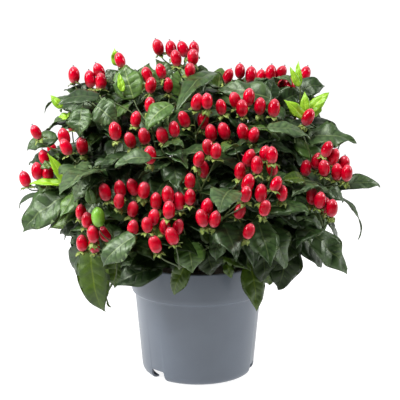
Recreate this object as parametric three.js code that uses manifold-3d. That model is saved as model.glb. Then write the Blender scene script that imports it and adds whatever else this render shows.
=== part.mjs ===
// Potted tutsan: a dense, rounded, berrying shrub of the Hypericum kind in a tapered nursery pot.
// Millimetres, +Z up. The origin is the centre of the pot's flat underside, and the pot's axis is Z.
// Azimuths are in degrees, seen from above: 0 points to the front (-Y), 90 to the right (+X).
//
// The plant is a short woody stem that stands on the potting soil, boughs that fork from it, and one
// mass of twigs, leaves and berries on each bough. A mass is grown by a seeded rule from the bough's
// tip, and a leaf that would meet a limb, the pot or another leaf is turned, shortened or left out.

import * as THREE from "three";
import Module from "manifold-3d";
import { mergeVertices } from "three/addons/utils/BufferGeometryUtils.js";

const wasm = await Module();
wasm.setup();

// Driving dimensions

const GAP = 0.3; // between touching pieces

const POT = {
  height: 111,
  rimRadius: 65,
  bandBottom: 80, // underside of the rim's band
  bandRadius: 64.2,
  bandStep: 3.2, // how far the band stands out of the body
  footRadius: 54.5,
  footRounding: 8,
  footEdge: 2, // width of the ring that the foot stands on
  bossRadius: 24, // the middle of the floor, which also stands on the ground
  baseHeight: 11, // underside of the floor between the boss and the foot
  wall: 1.8,
  floor: 2.6,
  lipRounding: 1.2,
  slots: 3, // drainage slots round the foot
  slotTurn: 75, // azimuth of the first slot
  slotWidth: 18.5,
  slotHeight: 10.8,
  sides: 30,
};

const SOIL = { top: 97, mound: 3.5, sides: 20 };

const STEM = { height: 54, footRadius: 10.5, radius: 7.4, tipRadius: 5.6, lean: 2.5, sides: 14 };

const BOUGH = {
  baseRadius: 2.1,
  tipRadius: 1.5,
  share: 0.44, // the part of the way to the crown's outside that is bare bough
  spacing: 4.9, // least distance between two boughs where they leave the stem
  lowest: 12, // first fork above the soil
  sides: 5,
  steps: 4,
};

const TWIG = {
  radius: 1.3,
  tipRadius: 0.9,
  node: 1.8, // length of the place where leaves or shoots leave a twig
  collar: 4.5, // how far from its fork a side shoot is round
  nodeSpacing: 17,
  firstNode: 8,
  lastNode: 5,
  upturn: 0.75, // how far the tip of a fruiting shoot turns from its mass's direction to upright
  leafyUpturn: 0.3, // the same in a mass that bears leaves alone
};

const LEAF = {
  length: 54,
  width: 31,
  thickness: 1.1,
  spread: 66, // angle between twig and leaf
  droop: 44, // how far below the level a leaf's tip points
  skyward: 0.6, // how much a leaf's face looks up rather than along its twig
};

const FRUIT = {
  length: 15.5,
  width: 10.4,
  stalk: 9.5,
  stalkRadius: 0.75,
  ring: 8.6, // how far the outer berries of a cluster stand from the middle one's stalk
};

// The masses, each by its azimuth, the distance of its main berry cluster from the axis and that
// cluster's height, and then by what it holds: how many shoots it has, how many berries the first shoot
// bears, how far the other shoots' ends lie from the first one's, in which direction the first of them
// lies, anticlockwise from the right as seen from outside, and how many shoots it has besides that bear
// leaves alone.
const MASSES = [
  mass("top", -40, 28, 312, 4, 6, 27, 215, 1),
  mass("top_right", 50, 66, 290, 3, 3, 30, 0, 1),
  mass("upper_left", -60, 112, 288, 3, 3, 28, 0, 2),
  mass("upper_right", 60, 106, 280, 3, 2, 32, -60, 1),
  mass("left_high", -49, 144, 237, 2, 3, 34, 175, 1),
  mass("left", -66, 148, 210, 2, 4, 30, 250, 2),
  mass("left_low", -38, 146, 165, 2, 5, 27, 105, 1),
  mass("front_left_high", -24, 124, 247, 3, 3, 28, 0, 1),
  mass("front_left", -15, 150, 180, 5, 5, 30, 130),
  mass("front_high", -1, 104, 261, 2, 5, 29, -35, 2),
  mass("front", 1, 142, 222, 3, 3, 33, 80),
  mass("front_right_high", 24, 98, 268, 3, 4, 29, -12, 1),
  mass("front_right", 21, 148, 204, 3, 5, 31, 97, 1),
  mass("right_front", 48, 150, 215, 2, 7, 34, -110, 2),
  mass("right", 84, 128, 206, 4, 0, 32, 0),
  mass("skirt_left", -56, 124, 130, 3, 0, 30, 0),
  mass("skirt_front", -28, 112, 148, 3, 0, 32, 180),
  mass("skirt_right", 8, 112, 150, 3, 0, 32, 0),
  mass("skirt_far_right", 54, 122, 148, 3, 0, 32, 0),
  ...ring("back_high", 3, 116, 66, 102, 270, 3, 2, 34, 30, 1),
  ...ring("back", 4, 128, 46, 142, 212, 3, 2, 32, 86),
  ...ring("back_skirt", 2, 132, 84, 116, 146, 3, 0, 36, 0),
];

function mass(name, azimuth, reach, height, shoots, fruit, spread, turn, leafy = 0) {
  return { name, azimuth, reach, height, shoots, fruit, spread, turn, leafy };
}

// Masses alike round the back, which the front view doesn't show.
function ring(name, count, first, step, ...rest) {
  return Array.from({ length: count }, (_, i) => mass(`${name}_${i + 1}`, first + step * i, ...rest));
}

const UP = new THREE.Vector3(0, 0, 1);
const radians = THREE.MathUtils.degToRad;

// A repeatable source of numbers from 0 to 1.
function seeded(seed) {
  let state = (seed * 7919 + 104729) % 4294967296;
  const next = () => {
    state = (Math.imul(state, 1664525) + 1013904223) >>> 0;
    return state / 4294967296;
  };
  for (let i = 0; i < 4; i++) next();
  return next;
}

const between = (next, low, high) => low + (high - low) * next();

const along = (point, direction, distance) => point.clone().addScaledVector(direction, distance);

// A point at an azimuth, a distance from the axis and a height.
function placed(azimuth, reach, height) {
  const a = radians(azimuth);
  return new THREE.Vector3(Math.sin(a) * reach, -Math.cos(a) * reach, height);
}

// A unit vector square to the given one, turned by an angle about it; angle 0 points as nearly up as can be.
function squareTo(axis, angle) {
  const guide = Math.abs(axis.z) > 0.97 ? new THREE.Vector3(0, 1, 0) : UP;
  const first = along(guide, axis, -guide.dot(axis)).normalize();
  return first.applyAxisAngle(axis, angle);
}

function mix(a, b, share) {
  return a.clone().multiplyScalar(1 - share).addScaledVector(b, share).normalize();
}

// Solids

function solidFrom(points, faces) {
  const vertProperties = new Float32Array(points.flatMap((p) => [p.x, p.y, p.z]));
  return new wasm.Manifold(
    new wasm.Mesh({ numProp: 3, vertProperties, triVerts: new Uint32Array(faces.flat()) }),
  );
}

function solidOf(geometry) {
  const bare = geometry.clone();
  bare.deleteAttribute("normal");
  bare.deleteAttribute("uv");
  const merged = mergeVertices(bare, 1e-4);
  return new wasm.Manifold(
    new wasm.Mesh({
      numProp: 3,
      vertProperties: merged.attributes.position.array,
      triVerts: new Uint32Array(merged.index.array),
    }),
  );
}

function geometryOf(solid) {
  const mesh = solid.getMesh();
  const geometry = new THREE.BufferGeometry();
  geometry.setAttribute("position", new THREE.BufferAttribute(mesh.vertProperties, 3));
  geometry.setIndex(new THREE.BufferAttribute(mesh.triVerts, 1));
  const flat = geometry.toNonIndexed();
  flat.computeVertexNormals();
  return flat;
}

// A closed tapering tube round a curve, or round the part of it beyond a share, with flat ends.
function limbSolid(curve, radii, sides, steps, from = 0) {
  const points = [];
  const faces = [];
  const side = squareTo(curve.getTangent(from), 0);
  for (let i = 0; i <= steps; i++) {
    const share = from + ((1 - from) * i) / steps;
    const tangent = curve.getTangent(share);
    const centre = curve.getPoint(share);
    side.addScaledVector(tangent, -side.dot(tangent)).normalize();
    const radius = radii(share);
    for (let k = 0; k < sides; k++) {
      const spoke = side.clone().applyAxisAngle(tangent, (2 * Math.PI * k) / sides);
      points.push(along(centre, spoke, radius));
    }
  }
  for (let i = 0; i < steps; i++)
    for (let k = 0; k < sides; k++) {
      const [a, b] = [i * sides + k, i * sides + ((k + 1) % sides)];
      faces.push([a, b, b + sides], [a, b + sides, a + sides]);
    }
  const last = steps * sides;
  for (let k = 1; k < sides - 1; k++) faces.push([0, k + 1, k], [last, last + k, last + k + 1]);
  return solidFrom(points, faces);
}

// Pot, soil and stem

// An arc in the pot's outline, at a radius round the middle of the foot's rounding, between two angles
// from straight down.
function footArc(radius, from, to, steps) {
  const centre = [POT.footRadius - POT.footRounding, POT.footRounding];
  return Array.from({ length: steps + 1 }, (_, i) => {
    const a = radians(from + ((to - from) * i) / steps);
    return [centre[0] + radius * Math.sin(a), centre[1] - radius * Math.cos(a)];
  });
}

function potSolid() {
  const p = POT;
  const footing = p.footRadius - p.footRounding;
  const bodyTop = p.bandRadius - p.bandStep;
  const outline = [
    [0, 0],
    [p.bossRadius, 0],
    [p.bossRadius + 1.6, p.baseHeight],
    [p.footRadius - p.wall, p.baseHeight],
    ...footArc(p.footRounding - p.wall, 90, 0, 2),
    [footing - p.footEdge, p.wall],
    [footing - p.footEdge, 0],
    ...footArc(p.footRounding, 0, 83, 4),
    [bodyTop, p.bandBottom],
    [p.bandRadius - 0.4, p.bandBottom + p.bandStep * 0.7],
    [p.bandRadius, p.bandBottom + p.bandStep * 1.4],
    [p.rimRadius, p.height - p.lipRounding],
    [p.rimRadius - p.lipRounding, p.height],
    [p.rimRadius - p.wall - 0.6, p.height],
    [p.rimRadius - p.wall - 0.8, p.height - p.lipRounding],
    [bodyTop - p.wall, p.bandBottom],
    [p.footRadius - p.wall, p.baseHeight + p.floor],
    [p.bossRadius - 0.2, p.baseHeight + p.floor],
    [p.bossRadius - p.wall, p.floor],
    [0, p.floor],
  ];
  const body = solidOf(
    new THREE.LatheGeometry(
      outline.map(([r, z]) => new THREE.Vector2(r, z)),
      p.sides,
    ).rotateX(Math.PI / 2),
  );
  return body.subtract(wasm.Manifold.union(slotSolids()));
}

// Slots in the ring of the foot, which let water out. They narrow towards the top.
function slotSolids() {
  const p = POT;
  const half = p.slotWidth / 2;
  const outline = new THREE.Shape([
    new THREE.Vector2(-half, -1),
    new THREE.Vector2(half, -1),
    new THREE.Vector2(half * 0.86, p.slotHeight),
    new THREE.Vector2(-half * 0.86, p.slotHeight),
  ]);
  const inside = p.footRadius - p.footRounding - p.footEdge - 2;
  return Array.from({ length: p.slots }, (_, i) => {
    const block = new THREE.ExtrudeGeometry(outline, { depth: p.footRounding + 8, bevelEnabled: false });
    block.rotateX(Math.PI / 2).translate(0, -inside, 0);
    block.rotateZ(radians(p.slotTurn + (360 / p.slots) * i));
    return solidOf(block);
  });
}

function soilSolid() {
  const foot = POT.footRadius - POT.wall - 2.2 * GAP;
  const bodyTop = POT.bandRadius - POT.bandStep - POT.wall - 2.2 * GAP;
  const outline = [
    [0, POT.floor + GAP],
    [POT.bossRadius - POT.wall - 2 * GAP, POT.floor + GAP],
    [POT.bossRadius - 0.2 - 2 * GAP, POT.baseHeight + POT.floor + GAP],
    [foot, POT.baseHeight + POT.floor + GAP],
    [bodyTop - 0.2, POT.bandBottom - 1],
    [bodyTop + 0.6, SOIL.top - 2.5],
    [bodyTop - 5, SOIL.top],
    [24, SOIL.top + SOIL.mound * 0.7],
    [STEM.footRadius + 2, SOIL.top + SOIL.mound],
    [0, SOIL.top + SOIL.mound],
  ];
  return solidOf(
    new THREE.LatheGeometry(
      outline.map(([r, z]) => new THREE.Vector2(r, z)),
      SOIL.sides,
    ).rotateX(Math.PI / 2),
  );
}

const GROUND = SOIL.top + SOIL.mound + GAP;

const stemCurve = new THREE.QuadraticBezierCurve3(
  new THREE.Vector3(0, 0, GROUND),
  new THREE.Vector3(0, 0, GROUND + STEM.height * 0.6),
  new THREE.Vector3(-STEM.lean, 0, GROUND + STEM.height),
);

// The stem's radius from its flared foot to its fork.
function stemRadius(share) {
  const flare = (STEM.footRadius - STEM.radius) * Math.exp(-share * 11);
  return THREE.MathUtils.lerp(STEM.radius, STEM.tipRadius, share) + flare;
}

// Boughs

// Where each bough leaves the stem: flat-lying boughs fork low, upright ones high, and each as low as
// the boughs already there let it. The most upright goes on from the stem's top.
function forks(masses) {
  const steepness = (m) => Math.atan2(m.height - GROUND, m.reach);
  const order = [...masses].sort((a, b) => steepness(a) - steepness(b));
  const leader = order.pop();
  const feet = new Map();
  for (const mass of order) {
    for (let rise = BOUGH.lowest + 12 * Math.max(0, steepness(mass)); ; rise += 0.5) {
      if (rise > STEM.height - 2) throw new Error(`no room on the stem for ${mass.name}`);
      const centre = stemCurve.getPoint(rise / STEM.height);
      const foot = placed(mass.azimuth, stemRadius(rise / STEM.height) + GAP * 1.8, 0).add(centre);
      if ([...feet.values()].some((other) => other.distanceTo(foot) < BOUGH.spacing)) continue;
      feet.set(mass.name, foot);
      break;
    }
  }
  return feet.set(leader.name, along(stemCurve.getPoint(1), stemCurve.getTangent(1), GAP));
}

// A bough runs from its fork to the point where its mass begins, outwards at first and then up.
function boughCurve(mass, foot) {
  const target = placed(mass.azimuth, mass.reach, mass.height);
  const tip = foot.clone().lerp(target, BOUGH.share);
  const out = placed(mass.azimuth, 1, 0);
  const leafy = mass.fruit === 0;
  tip.z += leafy ? 13 : 5;
  tip.addScaledVector(out, leafy ? 8 : 3);
  const run = Math.hypot(tip.x - foot.x, tip.y - foot.y);
  const leads = foot.z > GROUND + STEM.height - 1;
  const start = leads ? stemCurve.getTangent(1) : out;
  const knee = along(foot, out, run * 0.55);
  knee.z += (tip.z - foot.z) * (leafy ? 0.8 : 0.4);
  return new THREE.CubicBezierCurve3(foot, along(foot, start, 3 + run * 0.2), knee, tip);
}

// Growing room

// What stands in the way of a new shoot, leaf or berry.
const obstacles = [];

function occupy(solid, owner) {
  obstacles.push({ solid, owner, box: solid.boundingBox() });
}

// True where a solid keeps the distance from all but its own support.
function clears(solid, distance, ignored) {
  const box = solid.boundingBox();
  return obstacles.every((other) => {
    if (ignored.includes(other.owner)) return true;
    const beside = [0, 1, 2].some(
      (i) => box.min[i] > other.box.max[i] + distance || other.box.min[i] > box.max[i] + distance,
    );
    return beside || solid.minGap(other.solid, distance) >= distance;
  });
}

// Shoots

// A shoot's course. Its frames carry a spoke square to the course, for turning leaves round it.
class Shoot {
  constructor(name, curve, footRadius) {
    this.name = name;
    this.curve = curve;
    this.length = curve.getLength();
    this.footRadius = footRadius;
    this.sprouts = []; // leaves and side shoots, each with its distance along the shoot
    this.fruit = [];
  }

  frame(distance) {
    const share = Math.min(1, distance / this.length);
    const start = this.curve.getTangentAt(0);
    const tangent = this.curve.getTangentAt(share);
    const turned = new THREE.Quaternion().setFromUnitVectors(start, tangent);
    const spoke = squareTo(start, 0).applyQuaternion(turned);
    return { centre: this.curve.getPointAt(share), tangent, spoke };
  }

  radius(distance) {
    return THREE.MathUtils.lerp(this.footRadius, TWIG.tipRadius, distance / this.length);
  }
}

// Ways of turning and shortening a side shoot that finds no room.
const SHOOT_TRIES = [
  [0, 1],
  [0.35, 1],
  [-0.35, 1],
  [0.7, 0.9],
  [-0.7, 0.9],
  [1.1, 0.8],
  [-1.1, 0.8],
];

// The shoots of a mass: the first goes on from the bough's tip to the main cluster, and the others
// leave it on the way, one after the other.
function growShoots(mass, bough, next) {
  const heading = bough.getTangent(1);
  const start = along(bough.getPoint(1), heading, GAP);
  const target = placed(mass.azimuth, mass.reach, mass.height);
  const outward = target.clone().sub(stemCurve.getPoint(0.5)).normalize();
  const across = placed(mass.azimuth + 90, 1, 0);
  const above = new THREE.Vector3().crossVectors(outward, across).normalize();
  const rising = mix(outward, UP, mass.fruit ? TWIG.upturn : TWIG.leafyUpturn);
  if (mass.fruit) target.addScaledVector(rising, -FRUIT.stalk - FRUIT.length / 2);
  const run = target.distanceTo(start);
  const settingOut = along(start, heading, run * 0.42);
  const course = new THREE.CubicBezierCurve3(start, settingOut, along(target, rising, -run * 0.4), target);
  const main = new Shoot(`${mass.name} 0`, course, BOUGH.tipRadius);
  main.turn = next() * Math.PI;
  main.bearsFruit = mass.fruit > 0;
  occupy(limbSolid(main.curve, () => BOUGH.tipRadius, 4, 8), main.name);
  const shoots = [main];
  for (let i = 1; i < mass.shoots + mass.leafy; i++) {
    const bearsFruit = mass.fruit > 0 && i < mass.shoots;
    const step = i < mass.shoots ? i - 1 : i - mass.shoots + 0.5;
    const angle = radians(mass.turn + (360 / (mass.shoots - 1)) * step + between(next, -12, 12));
    const reach = mass.spread * between(next, 0.9, 1.1);
    const drop = between(next, -12, -2) + (mass.fruit && !bearsFruit ? 6 : 0);
    const turn = next() * Math.PI;
    const distance = main.length * (0.1 + (0.42 * i) / (mass.shoots + mass.leafy));
    const fork = main.frame(distance);
    for (const [swing, scale] of SHOOT_TRIES) {
      const end = along(target, outward, drop);
      end.addScaledVector(across, Math.cos(angle + swing) * reach * scale);
      end.addScaledVector(above, Math.sin(angle + swing) * reach * scale);
      const way = end.clone().sub(fork.centre);
      const forward = fork.tangent.clone().multiplyScalar(way.dot(fork.tangent));
      const aside = way.clone().sub(forward);
      if (aside.length() < forward.length() * 0.5) continue;
      const bend = fork.centre.clone().addScaledVector(forward, 0.12).addScaledVector(aside, 0.5);
      const turnUp = along(end, rising, -way.length() * 0.34);
      const curve = new THREE.CubicBezierCurve3(fork.centre, bend, turnUp, end);
      const shoot = new Shoot(`${mass.name} ${i}`, curve, TWIG.radius);
      const test = limbSolid(curve, () => TWIG.radius, 4, 8);
      const outer = limbSolid(curve, () => TWIG.radius, 4, 8, 0.2);
      if (!clears(test, 1, [main.name]) || !clears(outer, 1, [])) continue;
      Object.assign(shoot, { turn, distance, bearsFruit, out: aside.normalize() });
      occupy(test, shoot.name);
      main.sprouts.push(shoot);
      shoots.push(shoot);
      break;
    }
  }
  return shoots;
}

// The berries of a shoot: one goes straight on and the others stand round it, leaning out.
function growFruit(mass, shoot, next) {
  const { centre, tangent, spoke } = shoot.frame(shoot.length);
  const axis = mix(tangent, UP, 0.5);
  const count = Math.round(mass.fruit * (shoot.out ? between(next, 0.5, 1.1) : 1));
  const around = Math.max(3, count - 1);
  for (let j = 0; j < count; j++) {
    const size = between(next, 0.9, 1.06);
    const angle = (2 * Math.PI * (j + between(next, -0.12, 0.12))) / around + Math.PI / 3;
    const radius = j ? FRUIT.ring * between(next, 0.96, 1.14) : 0;
    const rise = FRUIT.stalk * (j ? between(next, 0.7, 1) : between(next, 1.25, 1.45));
    const lean = j ? between(next, 0.2, 0.34) : 0;
    const out = spoke.clone().applyAxisAngle(tangent, angle);
    const base = along(along(centre, axis, rise), out, radius);
    const [length, width] = [FRUIT.length * size, FRUIT.width * size];
    const fruit = { base, axis: mix(axis, out, lean), out, length, width, middle: j === 0 };
    const body = berrySolid(fruit);
    const stalk = limbSolid(new THREE.LineCurve3(centre, base), () => TWIG.tipRadius, 3, 1);
    const own = [shoot.name, `stalk ${shoot.name}`];
    if (!clears(body, GAP + 0.2, []) || !clears(stalk, GAP + 0.4, own)) continue;
    occupy(body, `fruit ${shoot.name}`);
    occupy(stalk, `stalk ${shoot.name}`);
    shoot.fruit.push(fruit);
  }
}

// Leaves

// Where leaves can stand on a shoot: opposite pairs, each pair square to the last.
function leafSites(shoot, next) {
  const first = shoot.out ? TWIG.firstNode + 4 : TWIG.firstNode;
  const usable = shoot.length - first - TWIG.lastNode;
  const pairs = Math.max(2, Math.round(usable / TWIG.nodeSpacing) + 1);
  const sites = [];
  for (let k = 0; k < pairs; k++) {
    const towardsTip = k / (pairs - 1);
    let distance = first + usable * towardsTip;
    const fork = shoot.sprouts.find((side) => Math.abs(side.distance - distance) < 2 * TWIG.node);
    if (fork) distance = fork.distance + 2 * TWIG.node;
    const shorter = shoot.bearsFruit ? 1 - 0.16 * towardsTip : 1.05;
    for (const half of [0, 1])
      sites.push({
        shoot,
        distance,
        rank: pairs - k,
        turn: shoot.turn + k * (Math.PI / 2) + half * Math.PI + between(next, -0.25, 0.25),
        spread: radians(LEAF.spread + between(next, -20, 14) + 8 * (1 - towardsTip)),
        droop: radians(LEAF.droop * between(next, 0.2, 1.4)),
        length: LEAF.length * between(next, 0.86, 1.12) * shorter,
        slim: between(next, 0.88, 1.08),
      });
  }
  return sites;
}

// The leaf of a site, turned, spread and scaled a little.
function leafAt(site, swing, spread, scale) {
  const { centre, tangent, spoke } = site.shoot.frame(site.distance);
  const out = spoke.applyAxisAngle(tangent, site.turn + swing);
  const direction = tangent.clone().multiplyScalar(Math.cos(site.spread + spread));
  direction.addScaledVector(out, Math.sin(site.spread + spread));
  const sky = mix(tangent, UP, LEAF.skyward);
  const normal = along(sky, direction, -sky.dot(direction)).normalize();
  return {
    base: along(centre, out, site.shoot.radius(site.distance) * 0.6),
    out,
    direction,
    normal,
    side: new THREE.Vector3().crossVectors(normal, direction),
    length: site.length * scale,
    width: site.length * scale * (LEAF.width / LEAF.length) * site.slim,
    bend: Math.max(0.3, Math.asin(direction.z) + site.droop), // how far the leaf turns down
    distance: site.distance,
  };
}

// A point of the leaf: share along its arched midrib, across as a share of the half width, and lift.
function leafPoint(leaf, share, across, lift = 0) {
  const turned = leaf.bend * share;
  const forward = (Math.sin(turned) / leaf.bend) * leaf.length;
  const down = ((1 - Math.cos(turned)) / leaf.bend) * leaf.length;
  return along(leaf.base, leaf.direction, forward + Math.sin(turned) * lift)
    .addScaledVector(leaf.normal, Math.cos(turned) * lift - down)
    .addScaledVector(leaf.side, (leaf.width / 2) * across);
}

// The blade's free corners: left and right margin, ridge and tip.
function bladePoints(leaf) {
  return [
    leafPoint(leaf, 0.4, -1),
    leafPoint(leaf, 0.4, 1),
    leafPoint(leaf, 0.42, 0, LEAF.thickness),
    leafPoint(leaf, 1, 0),
  ];
}

// The blade's faces, from the open triangle of its foot to its free corners.
function bladeFaces([low, upRight, upLeft], [left, right, ridge, tip]) {
  return [
    [ridge, upLeft, left],
    [ridge, left, tip],
    [ridge, tip, right],
    [ridge, right, upRight],
    [ridge, upRight, upLeft],
    [left, upLeft, low],
    [upRight, right, low],
    [low, right, left],
    [left, right, tip],
  ];
}

// A leaf on its own, to try a place with.
function leafSolid(leaf) {
  const foot = [
    leafPoint(leaf, 0, 0, -0.6),
    along(leafPoint(leaf, 0, 0, 0.4), leaf.side, 0.6),
    along(leafPoint(leaf, 0, 0, 0.4), leaf.side, -0.6),
  ];
  return solidFrom([...foot, ...bladePoints(leaf)], [[0, 2, 1], ...bladeFaces([0, 1, 2], [3, 4, 5, 6])]);
}

// Ways of turning, spreading and scaling a leaf that finds no room.
const LEAF_TRIES = [
  [0, 0, 1],
  [0.35, 0, 0.95],
  [-0.35, 0, 0.95],
  [0, -0.3, 0.9],
  [0.2, 0.3, 0.8],
  [-0.5, 0.15, 0.75],
  [0.6, -0.2, 0.7],
];

// Sets a leaf the first way that keeps it clear of everything else, and leaves it out if none does.
function settleLeaf(site) {
  const node = `node ${site.shoot.name} ${site.rank}`;
  for (const [swing, spread, scale] of LEAF_TRIES) {
    const leaf = leafAt(site, swing, spread, scale);
    const test = leafSolid(leaf);
    if (!clears(test, GAP + 0.8, [site.shoot.name, node])) continue;
    occupy(test, node);
    site.shoot.sprouts.push(leaf);
    return;
  }
}

// Berries

// Points evenly round a centre, turning about the axis from the spoke on.
function circle(centre, axis, spoke, radius, count, turn = 0) {
  return Array.from({ length: count }, (_, k) =>
    along(centre, spoke.clone().applyAxisAngle(axis, (2 * Math.PI * (k + turn)) / count), radius),
  );
}

// The berry proper: two rings of five and a tip.
function berryPoints({ base, axis, length, width }) {
  const spoke = squareTo(axis, 0);
  return [
    ...circle(along(base, axis, length * 0.3), axis, spoke, width * 0.49, 5),
    ...circle(along(base, axis, length * 0.68), axis, spoke, width * 0.51, 5, 0.5),
    along(base, axis, length),
  ];
}

// The berry's faces, from the open triangle of its stalk's end.
function berryFaces([a, b, c], points) {
  const low = points.slice(0, 5);
  const high = points.slice(5, 10);
  const faces = [
    [a, b, low[1]],
    [a, low[1], low[0]],
    [b, low[2], low[1]],
    [b, c, low[3]],
    [b, low[3], low[2]],
    [c, low[4], low[3]],
    [c, a, low[4]],
    [a, low[0], low[4]],
  ];
  for (let k = 0; k < 5; k++) {
    const after = (k + 1) % 5;
    faces.push([low[k], low[after], high[k]], [low[after], high[after], high[k]]);
    faces.push([high[k], high[after], points[10]]);
  }
  return faces;
}

// A berry on its own, to try a place with.
function berrySolid(fruit) {
  const foot = circle(fruit.base, fruit.axis, squareTo(fruit.axis, 0), FRUIT.stalkRadius, 3);
  const numbers = Array.from({ length: 11 }, (_, i) => i + 3);
  return solidFrom([...foot, ...berryPoints(fruit)], [[0, 2, 1], ...berryFaces([0, 1, 2], numbers)]);
}

// The skin of a mass

// True where the edge from p to q passes through the triangle.
function pierces(p, q, [a, b, c]) {
  const ray = new THREE.Ray(p, q.clone().sub(p).normalize());
  const point = ray.intersectTriangle(a, b, c, false, new THREE.Vector3());
  return point !== null && point.distanceTo(p) < q.distanceTo(p);
}

// A closed skin that is grown: triangles of it are left open and drawn out into shoots, leaves and
// berries. An open triangle is three point numbers, anticlockwise as seen from outside.
class Skin {
  constructor() {
    this.points = [];
    this.faces = [];
    this.borne = [];
  }

  place(points) {
    this.points.push(...points);
    return points.map((_, i) => this.points.length - points.length + i);
  }

  begin({ centre, tangent, spoke }, radius) {
    const open = this.place(circle(centre, tangent, spoke, radius, 3));
    this.faces.push([open[0], open[2], open[1]]);
    return open;
  }

  close(open) {
    this.faces.push(open);
  }

  // The six triangles between an open triangle and a new one: the least twisted set that doesn't cross
  // itself.
  between(open, fresh) {
    const apart = (i, j) => this.points[i].distanceTo(this.points[j]);
    const length = (ring) => open.reduce((sum, i, k) => sum + apart(i, ring[k]), 0);
    const rings = [0, 1, 2].map((by) => open.map((_, k) => fresh[(k + by) % 3]));
    const after = (k) => (k + 1) % 3;
    const sets = rings
      .sort((a, b) => length(a) - length(b))
      .flatMap((ring) => [
        open.flatMap((i, k) => [
          [i, ring[after(k)], ring[k]],
          [i, open[after(k)], ring[after(k)]],
        ]),
        open.flatMap((i, k) => [
          [i, open[after(k)], ring[k]],
          [open[after(k)], ring[after(k)], ring[k]],
        ]),
      ]);
    return sets.find((faces) => !faces.some((face) => this.crosses(face, faces))) ?? sets[0];
  }

  // Draws an open triangle out to a new one. Returns it with one opened side triangle for each of the
  // directions asked for, the best facing one first.
  draw(open, { centre, tangent, spoke }, radius, directions = []) {
    const ring = this.place(circle(centre, tangent, spoke, radius, 3));
    let sides = this.between(open, ring);
    const holes = directions.map((direction) => {
      const facing = (face) => this.middle(face).sub(centre).dot(direction);
      const best = sides.reduce((a, b) => (facing(b) > facing(a) ? b : a));
      sides = sides.filter((face) => face !== best);
      return best;
    });
    this.faces.push(...sides);
    return { ring, holes };
  }

  middle(face) {
    return face.reduce((sum, i) => sum.add(this.points[i]), new THREE.Vector3()).divideScalar(3);
  }

  // Covers an open triangle with the faces, or closes it where they would cross the skin or each other.
  cover(open, faces) {
    const crossed = faces.some((face) => this.crosses(face, this.faces) || this.crosses(face, faces));
    this.faces.push(...(crossed ? [open] : faces));
  }

  crosses(face, standing) {
    const corners = face.map((i) => this.points[i]);
    const box = new THREE.Box3().setFromPoints(corners);
    return standing.some((other) => {
      if (other.some((i) => face.includes(i))) return false;
      const others = other.map((i) => this.points[i]);
      if (!box.intersectsBox(new THREE.Box3().setFromPoints(others))) return false;
      const edges = (ends) => ends.map((end, k) => [end, ends[(k + 1) % 3]]);
      return (
        edges(corners).some(([p, q]) => pierces(p, q, others)) ||
        edges(others).some(([p, q]) => pierces(p, q, corners))
      );
    });
  }

  leaf(open, leaf) {
    const height = (i) => this.points[i].dot(leaf.normal);
    const lowest = open.indexOf(open.reduce((a, b) => (height(b) < height(a) ? b : a)));
    const foot = [0, 1, 2].map((k) => open[(lowest + k) % 3]);
    this.cover(open, bladeFaces(foot, this.place(bladePoints(leaf))));
  }

  berry(open, fruit) {
    const end = this.place(circle(fruit.base, fruit.axis, squareTo(fruit.axis, 0), FRUIT.stalkRadius, 3));
    const faces = berryFaces(end, this.place(berryPoints(fruit)));
    this.cover(open, [...this.between(open, end), ...faces]);
  }

  // A shoot and its side shoots, from the open triangle at its foot on. What they bear is put off
  // until all of them are drawn.
  shoot(open, shoot) {
    let end = shoot.out ? this.draw(open, shoot.frame(TWIG.collar), TWIG.radius).ring : open;
    const places = [...new Set(shoot.sprouts.map((sprout) => sprout.distance))].sort((a, b) => a - b);
    for (const distance of places) {
      const sprouts = shoot.sprouts.filter((sprout) => sprout.distance === distance);
      const [below, above] = [distance - TWIG.node / 2, distance + TWIG.node / 2];
      end = this.draw(end, shoot.frame(below), shoot.radius(below)).ring;
      const outs = sprouts.map((sprout) => sprout.out);
      const node = this.draw(end, shoot.frame(above), shoot.radius(above), outs);
      end = node.ring;
      sprouts.forEach((sprout, i) => {
        if (sprout instanceof Shoot) this.shoot(node.holes[i], sprout);
        else this.borne.push(() => this.leaf(node.holes[i], sprout));
      });
    }
    const middle = shoot.fruit.find((fruit) => fruit.middle);
    const outer = shoot.fruit.filter((fruit) => !fruit.middle);
    const low = shoot.length - TWIG.node;
    end = this.draw(end, shoot.frame(low), shoot.radius(low)).ring;
    const outs = outer.map((fruit) => fruit.out);
    const top = this.draw(end, shoot.frame(shoot.length), TWIG.tipRadius, outs);
    this.borne.push(...outer.map((fruit, i) => () => this.berry(top.holes[i], fruit)));
    if (middle) this.borne.push(() => this.berry(top.ring, middle));
    else this.close(top.ring);
  }

  solid() {
    for (const bear of this.borne) bear();
    const used = [...new Set(this.faces.flat())];
    const number = new Map(used.map((i, k) => [i, k]));
    return solidFrom(
      used.map((i) => this.points[i]),
      this.faces.map((face) => face.map((i) => number.get(i))),
    );
  }
}

// The whole plant. Leaves settle pair by pair from the shoots' tips down, so that no mass takes all
// the room.
function growCrown() {
  const feet = forks(MASSES);
  for (const solid of [pot, soil, stem]) occupy(solid, "foot");
  const crown = MASSES.map((mass, index) => {
    const course = boughCurve(mass, feet.get(mass.name));
    const bough = limbSolid(course, boughRadius, BOUGH.sides, BOUGH.steps);
    if (!clears(bough, GAP * 0.9, [])) throw new Error(`the bough of ${mass.name} touches another`);
    occupy(bough, `bough ${mass.name}`);
    return { mass, bough, course, next: seeded(index + 1) };
  });
  for (const one of crown) one.shoots = growShoots(one.mass, one.course, one.next);
  for (const { mass, shoots, next } of crown)
    for (const shoot of shoots.filter((one) => one.bearsFruit)) growFruit(mass, shoot, next);
  const sites = crown.flatMap(({ shoots, next }) => shoots.flatMap((shoot) => leafSites(shoot, next)));
  sites.sort((a, b) => a.rank - b.rank);
  for (const site of sites) settleLeaf(site);
  return crown;
}

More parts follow.
